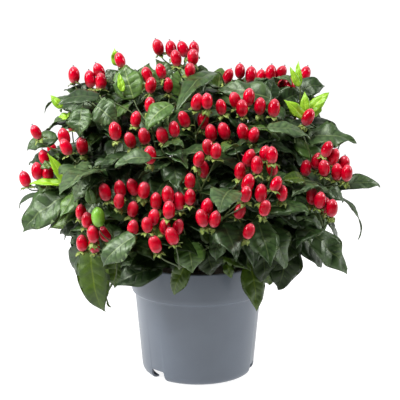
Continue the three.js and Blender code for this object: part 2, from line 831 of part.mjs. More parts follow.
function massSolid({ shoots: [main] }) {
  const skin = new Skin();
  skin.shoot(skin.begin(main.frame(0), BOUGH.tipRadius), main);
  return skin.solid();
}

// Materials and the assembly

const materials = {
  plastic: new THREE.MeshStandardMaterial({ color: 0x848b94, roughness: 0.5, metalness: 0 }),
  soil: new THREE.MeshStandardMaterial({ color: 0x2b2019, roughness: 1, metalness: 0 }),
  bark: new THREE.MeshStandardMaterial({ color: 0x6b4a33, roughness: 0.9, metalness: 0 }),
  foliage: new THREE.MeshStandardMaterial({ color: 0x2c4a33, roughness: 0.45, metalness: 0 }),
};

const plant = new THREE.Group();

function add(name, solid, material) {
  const mesh = new THREE.Mesh(geometryOf(solid), material);
  mesh.name = name;
  plant.add(mesh);
}

const boughRadius = (share) => THREE.MathUtils.lerp(BOUGH.baseRadius, BOUGH.tipRadius, share);
const pot = potSolid();
const soil = soilSolid();
const stem = limbSolid(stemCurve, stemRadius, STEM.sides, 8);

add("pot", pot, materials.plastic);
add("potting_soil", soil, materials.soil);
add("main_stem", stem, materials.bark);
for (const grown of growCrown()) {
  add(`bough_${grown.mass.name}`, grown.bough, materials.bark);
  add(`foliage_${grown.mass.name}`, massSolid(grown), materials.foliage);
}

export default plant;
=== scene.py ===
"""Looks of the potted tutsan: a rounded, berrying shrub of the Hypericum kind in a grey nursery pot.

The plant grows here by the rule of the part's source, from the same named sizes in millimetres, and is
carried on to finer twigs, smaller leaves and finished berries. Azimuths are in degrees, seen from above:
0 points to the front (-Y), 90 to the right (+X).
"""

import math
from collections import namedtuple
from types import SimpleNamespace as Sizes

import bpy
import numpy as np
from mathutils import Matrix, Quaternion, Vector, noise
from mathutils.bvhtree import BVHTree


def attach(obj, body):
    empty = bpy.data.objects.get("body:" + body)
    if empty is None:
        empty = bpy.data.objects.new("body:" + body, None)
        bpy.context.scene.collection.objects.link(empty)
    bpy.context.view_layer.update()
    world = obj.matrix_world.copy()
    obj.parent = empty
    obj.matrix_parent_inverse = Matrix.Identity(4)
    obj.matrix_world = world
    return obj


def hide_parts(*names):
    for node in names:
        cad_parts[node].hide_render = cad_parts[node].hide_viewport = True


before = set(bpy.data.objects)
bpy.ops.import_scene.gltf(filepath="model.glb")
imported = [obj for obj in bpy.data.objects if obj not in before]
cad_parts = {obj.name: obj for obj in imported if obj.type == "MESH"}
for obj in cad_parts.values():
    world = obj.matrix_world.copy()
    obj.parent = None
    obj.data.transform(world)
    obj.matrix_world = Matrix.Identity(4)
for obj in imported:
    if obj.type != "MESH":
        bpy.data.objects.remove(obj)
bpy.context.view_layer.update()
MM = 0.001

# Driving dimensions, which the part's source has too, but for the stalks and twiglets

GAP = 0.3  # between pieces of the part
ROOM_ROUND = GAP + 0.2  # round the leaves and berries that the rule sets

POT = Sizes(
    height=111,
    rim_radius=65,
    band_bottom=80,
    band_radius=64.2,
    band_step=3.2,
    foot_radius=54.5,
    foot_rounding=8,
    foot_edge=2,  # width of the ring that the foot stands on
    boss_radius=24,  # the middle of the floor, which also stands on the ground
    base_height=11,  # underside of the floor between the boss and the foot
    wall=1.8,
    floor=2.6,
    lip_rounding=1.2,
    slots=3,
    slot_turn=75,  # azimuth of the first slot
    slot_width=18.5,
    slot_height=10.8,
)
SOIL = Sizes(top=97, mound=3.5)
STEM = Sizes(height=54, foot_radius=10.5, radius=7.4, tip_radius=5.6, lean=2.5)
BOUGH = Sizes(base_radius=2.1, tip_radius=1.5, share=0.44, spacing=4.9, lowest=12)
TWIG = Sizes(
    radius=1.3, tip_radius=0.9, node=1.8, node_spacing=17, first_node=8, last_node=5,
    upturn=0.75, leafy_upturn=0.3,
)
STALK = Sizes(radius=0.75, tip_radius=0.5, longest=58, short=26)  # a short one may turn right back
TWIGLET = Sizes(share=0.25, shortest=12, longest=26, two_pairs=16, leaf=26, longest_leaf=40, slim=0.88)
LEAF = Sizes(length=54, width=31, thickness=0.5, spread=66, droop=44, skyward=0.6)
FRUIT = Sizes(length=15.5, width=10.4, stalk=9.5, stalk_radius=0.6, ring=8.6)
GROUND = SOIL.top + SOIL.mound + GAP
UP = Vector((0, 0, 1))

# The photograph's camera stands in front of the pot and looks down a little. The focal length and how
# far the axis lies left of the middle are in pixels.
CAMERA = Sizes(distance=1000, height=356.7, pitch=10.68, focal=1063, left=2)
FRAME_PIXELS = 400

# The crown's leafy body as the photograph shows it: heights, each with how far it reaches to the left and
# to the right of the axis. Only marked leaves stand out of it.
PROFILE = [
    (97, 104, 84), (130, 124, 122), (165, 150, 134), (205, 158, 138), (240, 142, 120), (282, 122, 104),
    (298, 82, 58), (306, 42, 24), (311, 0, 0),
]

# A mass: where the middle of its main cluster lies, how many shoots may bear berries and how many berries
# the main one has, how far the others spread and from which turn on, and how many leafy shoots there are
Mass = namedtuple("Mass", "name azimuth reach height shoots fruit spread turn leafy", defaults=[0])


def ring(name, count, first, step, *rest):
    """Masses alike round the back, which the photograph doesn't show."""
    return [Mass(f"{name}_{i + 1}", first + step * i, *rest) for i in range(count)]


MASSES = [
    Mass("top", -40, 28, 312, 4, 6, 27, 215, leafy=1),
    Mass("top_right", 50, 66, 290, 3, 3, 30, 0, leafy=1),
    Mass("upper_left", -60, 112, 288, 3, 3, 28, 0, leafy=2),
    Mass("upper_right", 60, 106, 280, 3, 2, 32, -60, leafy=1),
    Mass("left_high", -49, 144, 237, 2, 3, 34, 175, leafy=1),
    Mass("left", -66, 148, 210, 2, 4, 30, 250, leafy=2),
    Mass("left_low", -38, 146, 165, 2, 5, 27, 105, leafy=1),
    Mass("front_left_high", -24, 124, 247, 3, 3, 28, 0, leafy=1),
    Mass("front_left", -15, 150, 180, 5, 5, 30, 130),
    Mass("front_high", -1, 104, 261, 2, 5, 29, -35, leafy=2),
    Mass("front", 1, 142, 222, 3, 3, 33, 80),
    Mass("front_right_high", 24, 98, 268, 3, 4, 29, -12, leafy=1),
    Mass("front_right", 21, 148, 204, 3, 5, 31, 97, leafy=1),
    Mass("right_front", 48, 150, 215, 2, 7, 34, -110, leafy=2),
    Mass("right", 84, 128, 206, 4, 0, 32, 0),
    Mass("skirt_left", -56, 124, 130, 3, 0, 30, 0),
    Mass("skirt_front", -28, 112, 148, 3, 0, 32, 180),
    Mass("skirt_right", 8, 112, 150, 3, 0, 32, 0),
    Mass("skirt_far_right", 54, 122, 148, 3, 0, 32, 0),
    *ring("back_high", 3, 116, 66, 102, 270, 3, 2, 34, 30, 1),
    *ring("back", 4, 128, 46, 142, 212, 3, 2, 32, 86),
    *ring("back_skirt", 2, 132, 84, 116, 146, 3, 0, 36, 0),
]

# Vectors and curves


class Draws:
    """A repeatable source of numbers, the same one as in the part's source."""

    def __init__(self, seed):
        self.state = (seed * 7919 + 104729) % 2**32
        for _ in range(4):
            self.next()

    def next(self):
        self.state = (self.state * 1664525 + 1013904223) % 2**32
        return self.state / 2**32

    def between(self, low, high):
        return low + (high - low) * self.next()


def placed(azimuth, reach, height):
    a = math.radians(azimuth)
    return Vector((math.sin(a) * reach, -math.cos(a) * reach, height))


def sighted(x, y, front):
    """The point that a pixel of the photograph shows, at a distance in front of the pot's axis."""
    pitch = math.radians(CAMERA.pitch)
    right = (x - FRAME_PIXELS / 2 + CAMERA.left) / CAMERA.focal
    up = (FRAME_PIXELS / 2 - y) / CAMERA.focal
    run = (CAMERA.distance - front) / (math.cos(pitch) + up * math.sin(pitch))
    return Vector((run * right, -front, CAMERA.height + run * (up * math.cos(pitch) - math.sin(pitch))))


def in_profile(points):
    """True where a shape stays in the crown's profile as seen from the front and from the back."""
    scale = CAMERA.distance / (CAMERA.distance - np.abs(points[:, 1]))
    across = points[:, 0] * scale
    height = CAMERA.height - (CAMERA.height - points[:, 2]) * scale
    heights, left, right = zip(*PROFILE)
    inside = (across >= -np.interp(height, heights, left)) & (across <= np.interp(height, heights, right))
    return height.min() >= heights[0] and inside.all()


def turned(vector, axis, angle):
    return Quaternion(axis, angle) @ vector


def square_to(axis):
    """A unit vector square to the given one, as nearly up as can be."""
    guide = Vector((0, 1, 0)) if abs(axis.z) > 0.97 else UP
    return (guide - axis * guide.dot(axis)).normalized()


def mix(a, b, share):
    return (a * (1 - share) + b * share).normalized()


def lerp(a, b, share):
    return a + (b - a) * share


class Course:
    """A Bezier curve, read by its own share or by the distance along it."""

    STEPS = 48

    def __init__(self, *control):
        self.control = control
        samples = [self.point(i / self.STEPS) for i in range(self.STEPS + 1)]
        runs = [(b - a).length for a, b in zip(samples, samples[1:])]
        self.runs = np.concatenate([[0], np.cumsum(runs)])
        self.length = self.runs[-1]

    def narrowed(self, share, count):
        points = self.control
        while len(points) > count:
            points = [a.lerp(b, share) for a, b in zip(points, points[1:])]
        return points

    def point(self, share):
        return self.narrowed(share, 1)[0]

    def tangent(self, share):
        start, end = self.narrowed(share, 2)
        return (end - start).normalized()

    def share(self, distance):
        return float(np.interp(distance, self.runs, np.linspace(0, 1, self.STEPS + 1)))


def tube(course, radius, sides, steps, first=0.0, relief=None):
    """Points and faces of a closed tube round a course, with radius a function of the share. relief
    gives how far a point of the surface stands out."""
    points = []
    side = square_to(course.tangent(first))
    for i in range(steps + 1):
        share = lerp(first, 1, i / steps)
        tangent = course.tangent(share)
        centre = course.point(share)
        side = (side - tangent * side.dot(tangent)).normalized()
        other = tangent.cross(side)
        for k in range(sides):
            a = 2 * math.pi * k / sides
            spoke = side * math.cos(a) + other * math.sin(a)
            out = radius(share) + (relief(share, a) if relief else 0)
            points.append(centre + spoke * out)
    return np.array(points), tube_faces(sides, steps)


def walls(sides, rings, first=0):
    """Faces between each ring of points and the next one."""
    faces = []
    for a in range(first, first + rings * sides, sides):
        for k in range(sides):
            b = (k + 1) % sides
            faces.append((a + k, a + b, a + b + sides, a + k + sides))
    return faces


def tube_faces(sides, steps):
    last = steps * sides
    return walls(sides, steps) + [tuple(reversed(range(sides))), tuple(range(last, last + sides))]


# Growing room


class Room:
    """What stands in the way of a new shoot, leaf or berry."""

    def __init__(self):
        self.trees = []
        self.owners = []
        self.low = np.zeros((0, 3))
        self.high = np.zeros((0, 3))

    def occupy(self, points, faces, owner):
        self.trees.append(BVHTree.FromPolygons(points.tolist(), faces))
        self.owners.append(owner)
        self.low = np.vstack([self.low, points.min(0)])
        self.high = np.vstack([self.high, points.max(0)])

    def free(self, points, faces, distance, ignored=()):
        """True where a shape keeps the distance from all but its own support."""
        near = (points.min(0) <= self.high + distance) & (points.max(0) >= self.low - distance)
        tree = None
        for i in np.flatnonzero(near.all(1)):
            if self.owners[i] in ignored:
                continue
            if any(self.trees[i].find_nearest(p, distance)[0] is not None for p in points.tolist()):
                return False
            tree = tree or BVHTree.FromPolygons(points.tolist(), faces)
            if tree.overlap(self.trees[i]):
                return False
        return True


room = Room()

# Stem and boughs

STEM_COURSE = Course(
    Vector((0, 0, GROUND)),
    Vector((0, 0, GROUND + STEM.height * 0.6)),
    Vector((-STEM.lean, 0, GROUND + STEM.height)),
)


def stem_radius(share):
    flare = (STEM.foot_radius - STEM.radius) * math.exp(-share * 11)
    return lerp(STEM.radius, STEM.tip_radius, share) + flare


def bough_radius(share):
    return lerp(BOUGH.base_radius, BOUGH.tip_radius, share)


def steepness(mass):
    return math.atan2(mass.height - GROUND, mass.reach)


def forks():
    """Where each bough leaves the stem: flat-lying boughs fork low, upright ones high."""
    *order, leader = sorted(MASSES, key=steepness)
    feet = {}
    for mass in order:
        rise = BOUGH.lowest + 12 * max(0, steepness(mass))
        while mass.name not in feet:
            share = rise / STEM.height
            foot = placed(mass.azimuth, stem_radius(share) + GAP * 1.8, 0) + STEM_COURSE.point(share)
            if all((other - foot).length >= BOUGH.spacing for other in feet.values()):
                feet[mass.name] = foot
            rise += 0.5
    feet[leader.name] = STEM_COURSE.point(1) + STEM_COURSE.tangent(1) * GAP
    return feet


def bough_course(mass, foot):
    """A bough runs from its fork to the point where its mass begins, outwards at first and then up."""
    leafy = mass.fruit == 0
    out = placed(mass.azimuth, 1, 0)
    tip = foot.lerp(placed(mass.azimuth, mass.reach, mass.height), BOUGH.share)
    tip += UP * (13 if leafy else 5) + out * (8 if leafy else 3)
    run = math.hypot(tip.x - foot.x, tip.y - foot.y)
    leads = foot.z > GROUND + STEM.height - 1
    start = STEM_COURSE.tangent(1) if leads else out
    knee = foot + out * run * 0.55 + UP * (tip.z - foot.z) * (0.8 if leafy else 0.4)
    return Course(foot, foot + start * (3 + run * 0.2), knee, tip)


# Shoots

# Ways of turning and shortening a side shoot that finds no room
SHOOT_TRIES = [(0, 1), (0.35, 1), (-0.35, 1), (0.7, 0.9), (-0.7, 0.9), (1.1, 0.8), (-1.1, 0.8)]


class Shoot:
    """A twig on its course; distance is how far along the mass's main shoot it forks off."""

    def __init__(self, name, course, radii, mass=None, turn=0, bears_fruit=False, distance=0):
        self.name = name
        self.course = course
        self.length = course.length
        self.radii = radii
        self.mass = mass
        self.turn = turn
        self.bears_fruit = bears_fruit
        self.distance = distance
        self.side_shoots = []

    def frame(self, distance):
        """Centre, tangent and a spoke square to it, for turning leaves round the shoot."""
        share = self.course.share(min(distance, self.length))
        start = self.course.tangent(0)
        tangent = self.course.tangent(share)
        return self.course.point(share), tangent, start.rotation_difference(tangent) @ square_to(start)

    def radius(self, distance):
        return lerp(*self.radii, distance / self.length)


def grow_shoots(mass, bough, draws):
    """The first shoot goes on from the bough's tip to the main cluster, and the others leave it."""
    heading = bough.tangent(1)
    start = bough.point(1) + heading * GAP
    target = placed(mass.azimuth, mass.reach, mass.height)
    outward = (target - STEM_COURSE.point(0.5)).normalized()
    across = placed(mass.azimuth + 90, 1, 0)
    above = outward.cross(across).normalized()
    rising = mix(outward, UP, TWIG.upturn if mass.fruit else TWIG.leafy_upturn)
    if mass.fruit:
        target -= rising * (FRUIT.stalk + FRUIT.length / 2)
    run = (target - start).length
    course = Course(start, start + heading * run * 0.42, target - rising * run * 0.4, target)
    turn = draws.next() * math.pi
    radii = (BOUGH.tip_radius, TWIG.tip_radius)
    main = Shoot(f"{mass.name} 0", course, radii, mass, turn, mass.fruit > 0)
    room.occupy(*tube(course, lambda share: BOUGH.tip_radius, 4, 8), main.name)
    shoots = [main]
    for i in range(1, mass.shoots + mass.leafy):
        bears_fruit = mass.fruit > 0 and i < mass.shoots
        step = i - 1 if i < mass.shoots else i - mass.shoots + 0.5
        angle = math.radians(mass.turn + 360 / (mass.shoots - 1) * step + draws.between(-12, 12))
        reach = mass.spread * draws.between(0.9, 1.1)
        drop = draws.between(-12, -2) + (6 if mass.fruit and not bears_fruit else 0)
        turn = draws.next() * math.pi
        distance = main.length * (0.1 + 0.42 * i / (mass.shoots + mass.leafy))
        fork, tangent, _ = main.frame(distance)
        for swing, scale in SHOOT_TRIES:
            end = target + outward * drop
            end += across * math.cos(angle + swing) * reach * scale
            end += above * math.sin(angle + swing) * reach * scale
            forward = tangent * (end - fork).dot(tangent)
            aside = end - fork - forward
            if aside.length < forward.length * 0.5:
                continue
            setting_out = fork + forward * 0.12 + aside * 0.5
            course = Course(fork, setting_out, end - rising * (end - fork).length * 0.34, end)
            test = tube(course, lambda share: TWIG.radius, 4, 8)
            outer = tube(course, lambda share: TWIG.radius, 4, 8, 0.2)
            if not room.free(*test, 1, [main.name]) or not room.free(*outer, 1):
                continue
            radii = (TWIG.radius, TWIG.tip_radius)
            shoot = Shoot(f"{mass.name} {i}", course, radii, mass, turn, bears_fruit, distance)
            room.occupy(*test, shoot.name)
            main.side_shoots.append(shoot)
            shoots.append(shoot)
            break
    return shoots


# Berries

# The berry's outline from its foot to its tip: share of the length, share of the half width
BERRY_OUTLINE = [
    (0.0, 0.16), (0.03, 0.42), (0.09, 0.64), (0.18, 0.83), (0.3, 0.95), (0.44, 1.0),
    (0.58, 0.985), (0.71, 0.9), (0.82, 0.75), (0.91, 0.54), (0.97, 0.31), (1.0, 0.1),
]
ROUGH_BERRY = BERRY_OUTLINE[::3] + BERRY_OUTLINE[-1:]  # for tests of room


class Berry:
    """A berry from its base along its axis, and how its stalk comes to it."""

    def __init__(self, shoot, start, base, axis, size, heading):
        self.shoot = shoot
        self.start = start  # where its stalk begins
        self.base = base
        self.axis = axis
        self.heading = heading  # direction in which the stalk sets out
        self.length = FRUIT.length * size
        self.width = FRUIT.width * size

    def stalk(self):
        reach = (self.base - self.start).length
        return Course(
            self.start,
            self.start + self.heading * reach * 0.4,
            self.base - self.axis * reach * 0.35,
            self.base + self.axis * 0.4,
        )

    def body(self, sides, outline=BERRY_OUTLINE, lobes=0.0):
        """Points and faces; lobes is how deep the three seams are, as a share of the half width."""
        spoke = square_to(self.axis)
        other = self.axis.cross(spoke)
        points = []
        for along, out in outline:
            for k in range(sides):
                a = 2 * math.pi * k / sides
                seam = 1 - lobes * (0.5 + 0.5 * math.cos(3 * a)) ** 3
                radius = self.width / 2 * out * seam
                spot = spoke * math.cos(a) + other * math.sin(a)
                points.append(self.base + self.axis * self.length * along + spot * radius)
        return np.array(points), tube_faces(sides, len(outline) - 1)


def grow_fruit(shoot, draws):
    """The berries of a shoot: one goes straight on and the others stand round it, leaning out."""
    centre, tangent, spoke = shoot.frame(shoot.length)
    axis = mix(tangent, UP, 0.5)
    count = round(shoot.mass.fruit * (draws.between(0.5, 1.1) if shoot.distance else 1))
    around = max(3, count - 1)
    berries = []
    for j in range(count):
        size = draws.between(0.9, 1.06)
        angle = 2 * math.pi * (j + draws.between(-0.12, 0.12)) / around + math.pi / 3
        radius = FRUIT.ring * draws.between(0.96, 1.14) if j else 0
        rise = FRUIT.stalk * (draws.between(0.7, 1) if j else draws.between(1.25, 1.45))
        lean = draws.between(0.2, 0.34) if j else 0
        out = turned(spoke, tangent, angle)
        base = centre + axis * rise + out * radius
        berries.append(Berry(shoot, centre, base, mix(axis, out, lean), size, mix(tangent, out, lean)))
    return berries


def settle_berry(berry):
    """Sets a berry where it and its stalk keep clear of everything else."""
    body = berry.body(8, ROUGH_BERRY)
    stalk = tube(Course(berry.start, berry.base), lambda share: TWIG.tip_radius, 3, 1)
    own = [berry.shoot.name, f"stalk {berry.shoot.name}"]
    if not room.free(*body, ROOM_ROUND) or not room.free(*stalk, ROOM_ROUND + 0.2, own):
        return False
    room.occupy(*body, f"fruit {berry.shoot.name}")
    room.occupy(*stalk, f"stalk {berry.shoot.name}")
    return True


# Leaves


class Leaf(namedtuple("Leaf", "base out direction normal length width bend quirks")):
    """A blade that grows from a base point along a direction, with its face towards the normal. quirks
    is how it folds, waves, twists and curls."""

    def surface(self, rows, columns, thickness=0.0):
        """The blade's points, rows by columns, and the same ones lowered by the thickness. The rows
        follow the side veins, which sweep from the midrib towards the tip."""
        q = self.quirks
        u = np.linspace(0, 1, rows + 1)[:, None]
        v = np.array(columns)[None, :]
        side = np.abs(v)
        share = u + 0.13 * side * np.sin(np.pi * u)
        half = self.width / 2 * leaf_outline(share, q.point) + lerp(0.5, 0.12, share)
        puff = np.where(np.arange(rows + 1) % 2, 1.0, 0.0)[:, None] * np.sin(np.pi * side) ** 0.8
        body = np.sin(np.pi * np.clip(share, 0, 1)) ** 0.5
        lift = q.fold * side * half * (1 - 0.6 * share)
        lift = lift - q.roll * half * side**3
        lift = lift + 0.35 * body * (1 - np.exp(-side / 0.12)) + q.pucker * puff * body
        phase = np.where(v > 0, q.phase, q.phase + 2.1)
        lift = lift + q.wave * side**2 * body * np.sin(2 * np.pi * q.waves * share + phase)
        for along, aside, start, height in q.crumples:
            lift = lift + height * body * np.sin(2 * np.pi * (along * share + aside * v) + start)
        return (self.place(share, v * half, lift - t) for t in (0.0, thickness))

    def place(self, share, across, lift):
        """Points at shares of the arched midrib, at distances across and above it."""
        q = self.quirks
        s = np.linspace(0, 1.05, 64)
        angle = self.bend * s**q.droop + q.curl * s**6
        step = self.length * (s[1] - s[0])
        forward = np.concatenate([[0], np.cumsum(np.cos(angle[:-1]) * step)])
        down = np.concatenate([[0], np.cumsum(np.sin(angle[:-1]) * step)])
        here = np.interp(share, s, angle)
        twist = q.twist * share
        over = across * np.cos(twist) - lift * np.sin(twist) + q.sway * self.length * share**2
        rise = across * np.sin(twist) + lift * np.cos(twist)
        x = np.interp(share, s, forward) + np.sin(here) * rise
        z = np.cos(here) * rise - np.interp(share, s, down)
        side = self.normal.cross(self.direction)
        axes = [np.array(axis)[None, None, :] for axis in (self.direction, side, self.normal)]
        parts = [x, over + 0 * x, z + 0 * x]
        return np.array(self.base) + sum(p[..., None] * axis for p, axis in zip(parts, axes))

    def test(self):
        points, _ = self.surface(4, (-1, 0, 1))
        return points.reshape(-1, 3), grid_faces(4, 2)


def leaf_outline(share, point):
    """Half width of an oval leaf as a share of its greatest one. point is how drawn out its tip is."""
    s = np.clip(share, 0, 1)
    return np.sin(np.pi * s**0.76) ** (0.52 + point * s)


def grid_faces(rows, columns):
    wide = columns + 1
    corners = [i * wide + j for i in range(rows) for j in range(columns)]
    return [(a, a + wide, a + wide + 1, a + 1) for a in corners]


class Quirks:
    """How one leaf differs from the next, drawn from its own source of numbers."""

    def __init__(self, rng, scale=1.0):
        self.fold = rng.uniform(0.08, 0.34)
        self.roll = rng.uniform(0.0, 0.24)
        self.pucker = rng.uniform(0.7, 1.4) * scale
        self.point = rng.uniform(0.55, 1.05)
        self.wave = rng.uniform(1.2, 4.0) * scale
        self.waves = rng.uniform(1.1, 2.3)
        self.phase = rng.uniform(0, 2 * np.pi)
        self.twist = rng.normal(0, 0.28)
        self.sway = rng.normal(0, 0.07)
        self.droop = rng.uniform(0.95, 1.5)
        self.curl = rng.uniform(0.0, 1.0)
        waves = rng.uniform([1.2, 0.15, 0, 0.3], [3.8, 0.7, 2 * np.pi, 0.75], (4, 4))
        self.crumples = waves * [1, 1, 1, scale]


class Site(namedtuple("Site", "shoot distance rank turn spread bend length slim")):
    """Where a leaf stands on a shoot, and how it would grow there if it had room."""

    def leaf(self, swing, spread, scale, quirks):
        centre, tangent, spoke = self.shoot.frame(self.distance)
        out = turned(spoke, tangent, self.turn + swing)
        spread += self.spread
        direction = tangent * math.cos(spread) + out * math.sin(spread)
        sky = mix(tangent, UP, LEAF.skyward)
        normal = (sky - direction * sky.dot(direction)).normalized()
        base = centre + out * self.shoot.radius(self.distance) * 0.6
        length = self.length * scale
        width = length * LEAF.width / LEAF.length * self.slim
        bend = max(0.3, math.asin(direction.z) + self.bend)
        return Leaf(base, out, direction, normal, length, width, bend, quirks)


def leaf_pair(shoot, distance, rank, first_turn, draw, ranges, wider=0, longer=1):
    """Sites of two opposite leaves. ranges are those of turn, spread, bend, length and slimness."""
    sites = []
    for half in (0, 1):
        turn, spread, bend, length, slim = [draw(*span) for span in ranges]
        turn += first_turn + half * math.pi
        spread = math.radians(LEAF.spread + spread + wider)
        bend = math.radians(LEAF.droop * bend)
        sites.append(Site(shoot, distance, rank, turn, spread, bend, LEAF.length * length * longer, slim))
    return sites


NODE_RANGES = [(-0.25, 0.25), (-20, 14), (0.2, 1.4), (0.86, 1.12), (0.88, 1.08)]
FILLING_RANGES = [(-0.3, 0.3), (-16, 20), (0.4, 1.8), (0.8, 1.05), (0.85, 1.1)]
FILLINGS = 3  # rounds of leaves between the nodes


def leaf_sites(shoot, draws):
    """Where leaves stand on a shoot: opposite pairs, each pair square to the last."""
    first = TWIG.first_node + (4 if shoot.distance else 0)
    usable = shoot.length - first - TWIG.last_node
    pairs = max(2, math.floor(usable / TWIG.node_spacing + 0.5) + 1)
    sites = []
    for k in range(pairs):
        tipward = k / (pairs - 1)
        distance = first + usable * tipward
        for side in shoot.side_shoots:
            if abs(side.distance - distance) < 2 * TWIG.node:
                distance = side.distance + 2 * TWIG.node
                break
        turn = shoot.turn + k * math.pi / 2
        wider = 8 * (1 - tipward)
        longer = 1 - 0.16 * tipward if shoot.bears_fruit else 1.05
        sites += leaf_pair(shoot, distance, pairs - k, turn, draws.between, NODE_RANGES, wider, longer)
    return sites


def filling_sites(shoots, rng):
    """More pairs of somewhat smaller leaves between the nodes, round after round from the tips down."""
    sites = []
    spacing = TWIG.node_spacing
    for number in range(FILLINGS):
        for shoot in shoots:
            for k in range(int((shoot.length - 10) / spacing)):
                distance = shoot.length - 6 - (k + number / FILLINGS) * spacing
                turn = shoot.turn + math.pi * (0.25 + 0.5 * k + 0.33 * number)
                sites += leaf_pair(shoot, distance, 20 * (number + 1) + k, turn, rng.uniform, FILLING_RANGES)
    return sorted(sites, key=lambda site: site.rank)


# Ways of turning, spreading and scaling a leaf that finds no room
LEAF_TRIES = [
    (0, 0, 1), (0.35, 0, 0.95), (-0.35, 0, 0.95), (0, -0.3, 0.9), (0.2, 0.3, 0.8), (-0.5, 0.15, 0.75),
    (0.6, -0.2, 0.7),
]


def settle_leaf(site, rng):
    """Sets a leaf the first way that keeps it clear of everything else."""
    node = f"node {site.shoot.name} {site.rank}"
    quirks = Quirks(rng, site.length / LEAF.length)
    for swing, spread, scale in LEAF_TRIES:
        leaf = site.leaf(swing, spread, scale, quirks)
        test = leaf.test()
        if in_profile(test[0]) and room.free(*test, ROOM_ROUND, [site.shoot.name, node]):
            room.occupy(*test, node)
            return leaf
    return None


# Leaves and berries at marked places


class Marked(namedtuple("Marked", "base tip front width face tint bend")):
    """A leaf that stands out in the photograph: the pixels of its base and tip, how far each lies in
    front of the axis, its width in millimetres, the azimuth and rise that its face looks to, its tint and
    how far it bends."""

    def leaf(self, nearer, quirks):
        base = sighted(*self.base, self.front[0] + nearer)
        along = sighted(*self.tip, self.front[1] + nearer) - base
        azimuth, rise = self.face
        facing = placed(azimuth, math.cos(math.radians(rise)), math.sin(math.radians(rise)))
        axis = along.normalized()
        facing = (facing - axis * facing.dot(axis)).normalized()
        bend = math.radians(self.bend)
        lift = bend / (1 + quirks.droop)
        direction = axis * math.cos(lift) + facing * math.sin(lift)
        normal = facing * math.cos(lift) - axis * math.sin(lift)
        length = along.length * (bend / 2) / math.sin(bend / 2)
        return Leaf(base, direction, direction, normal, length, self.width, bend, quirks)


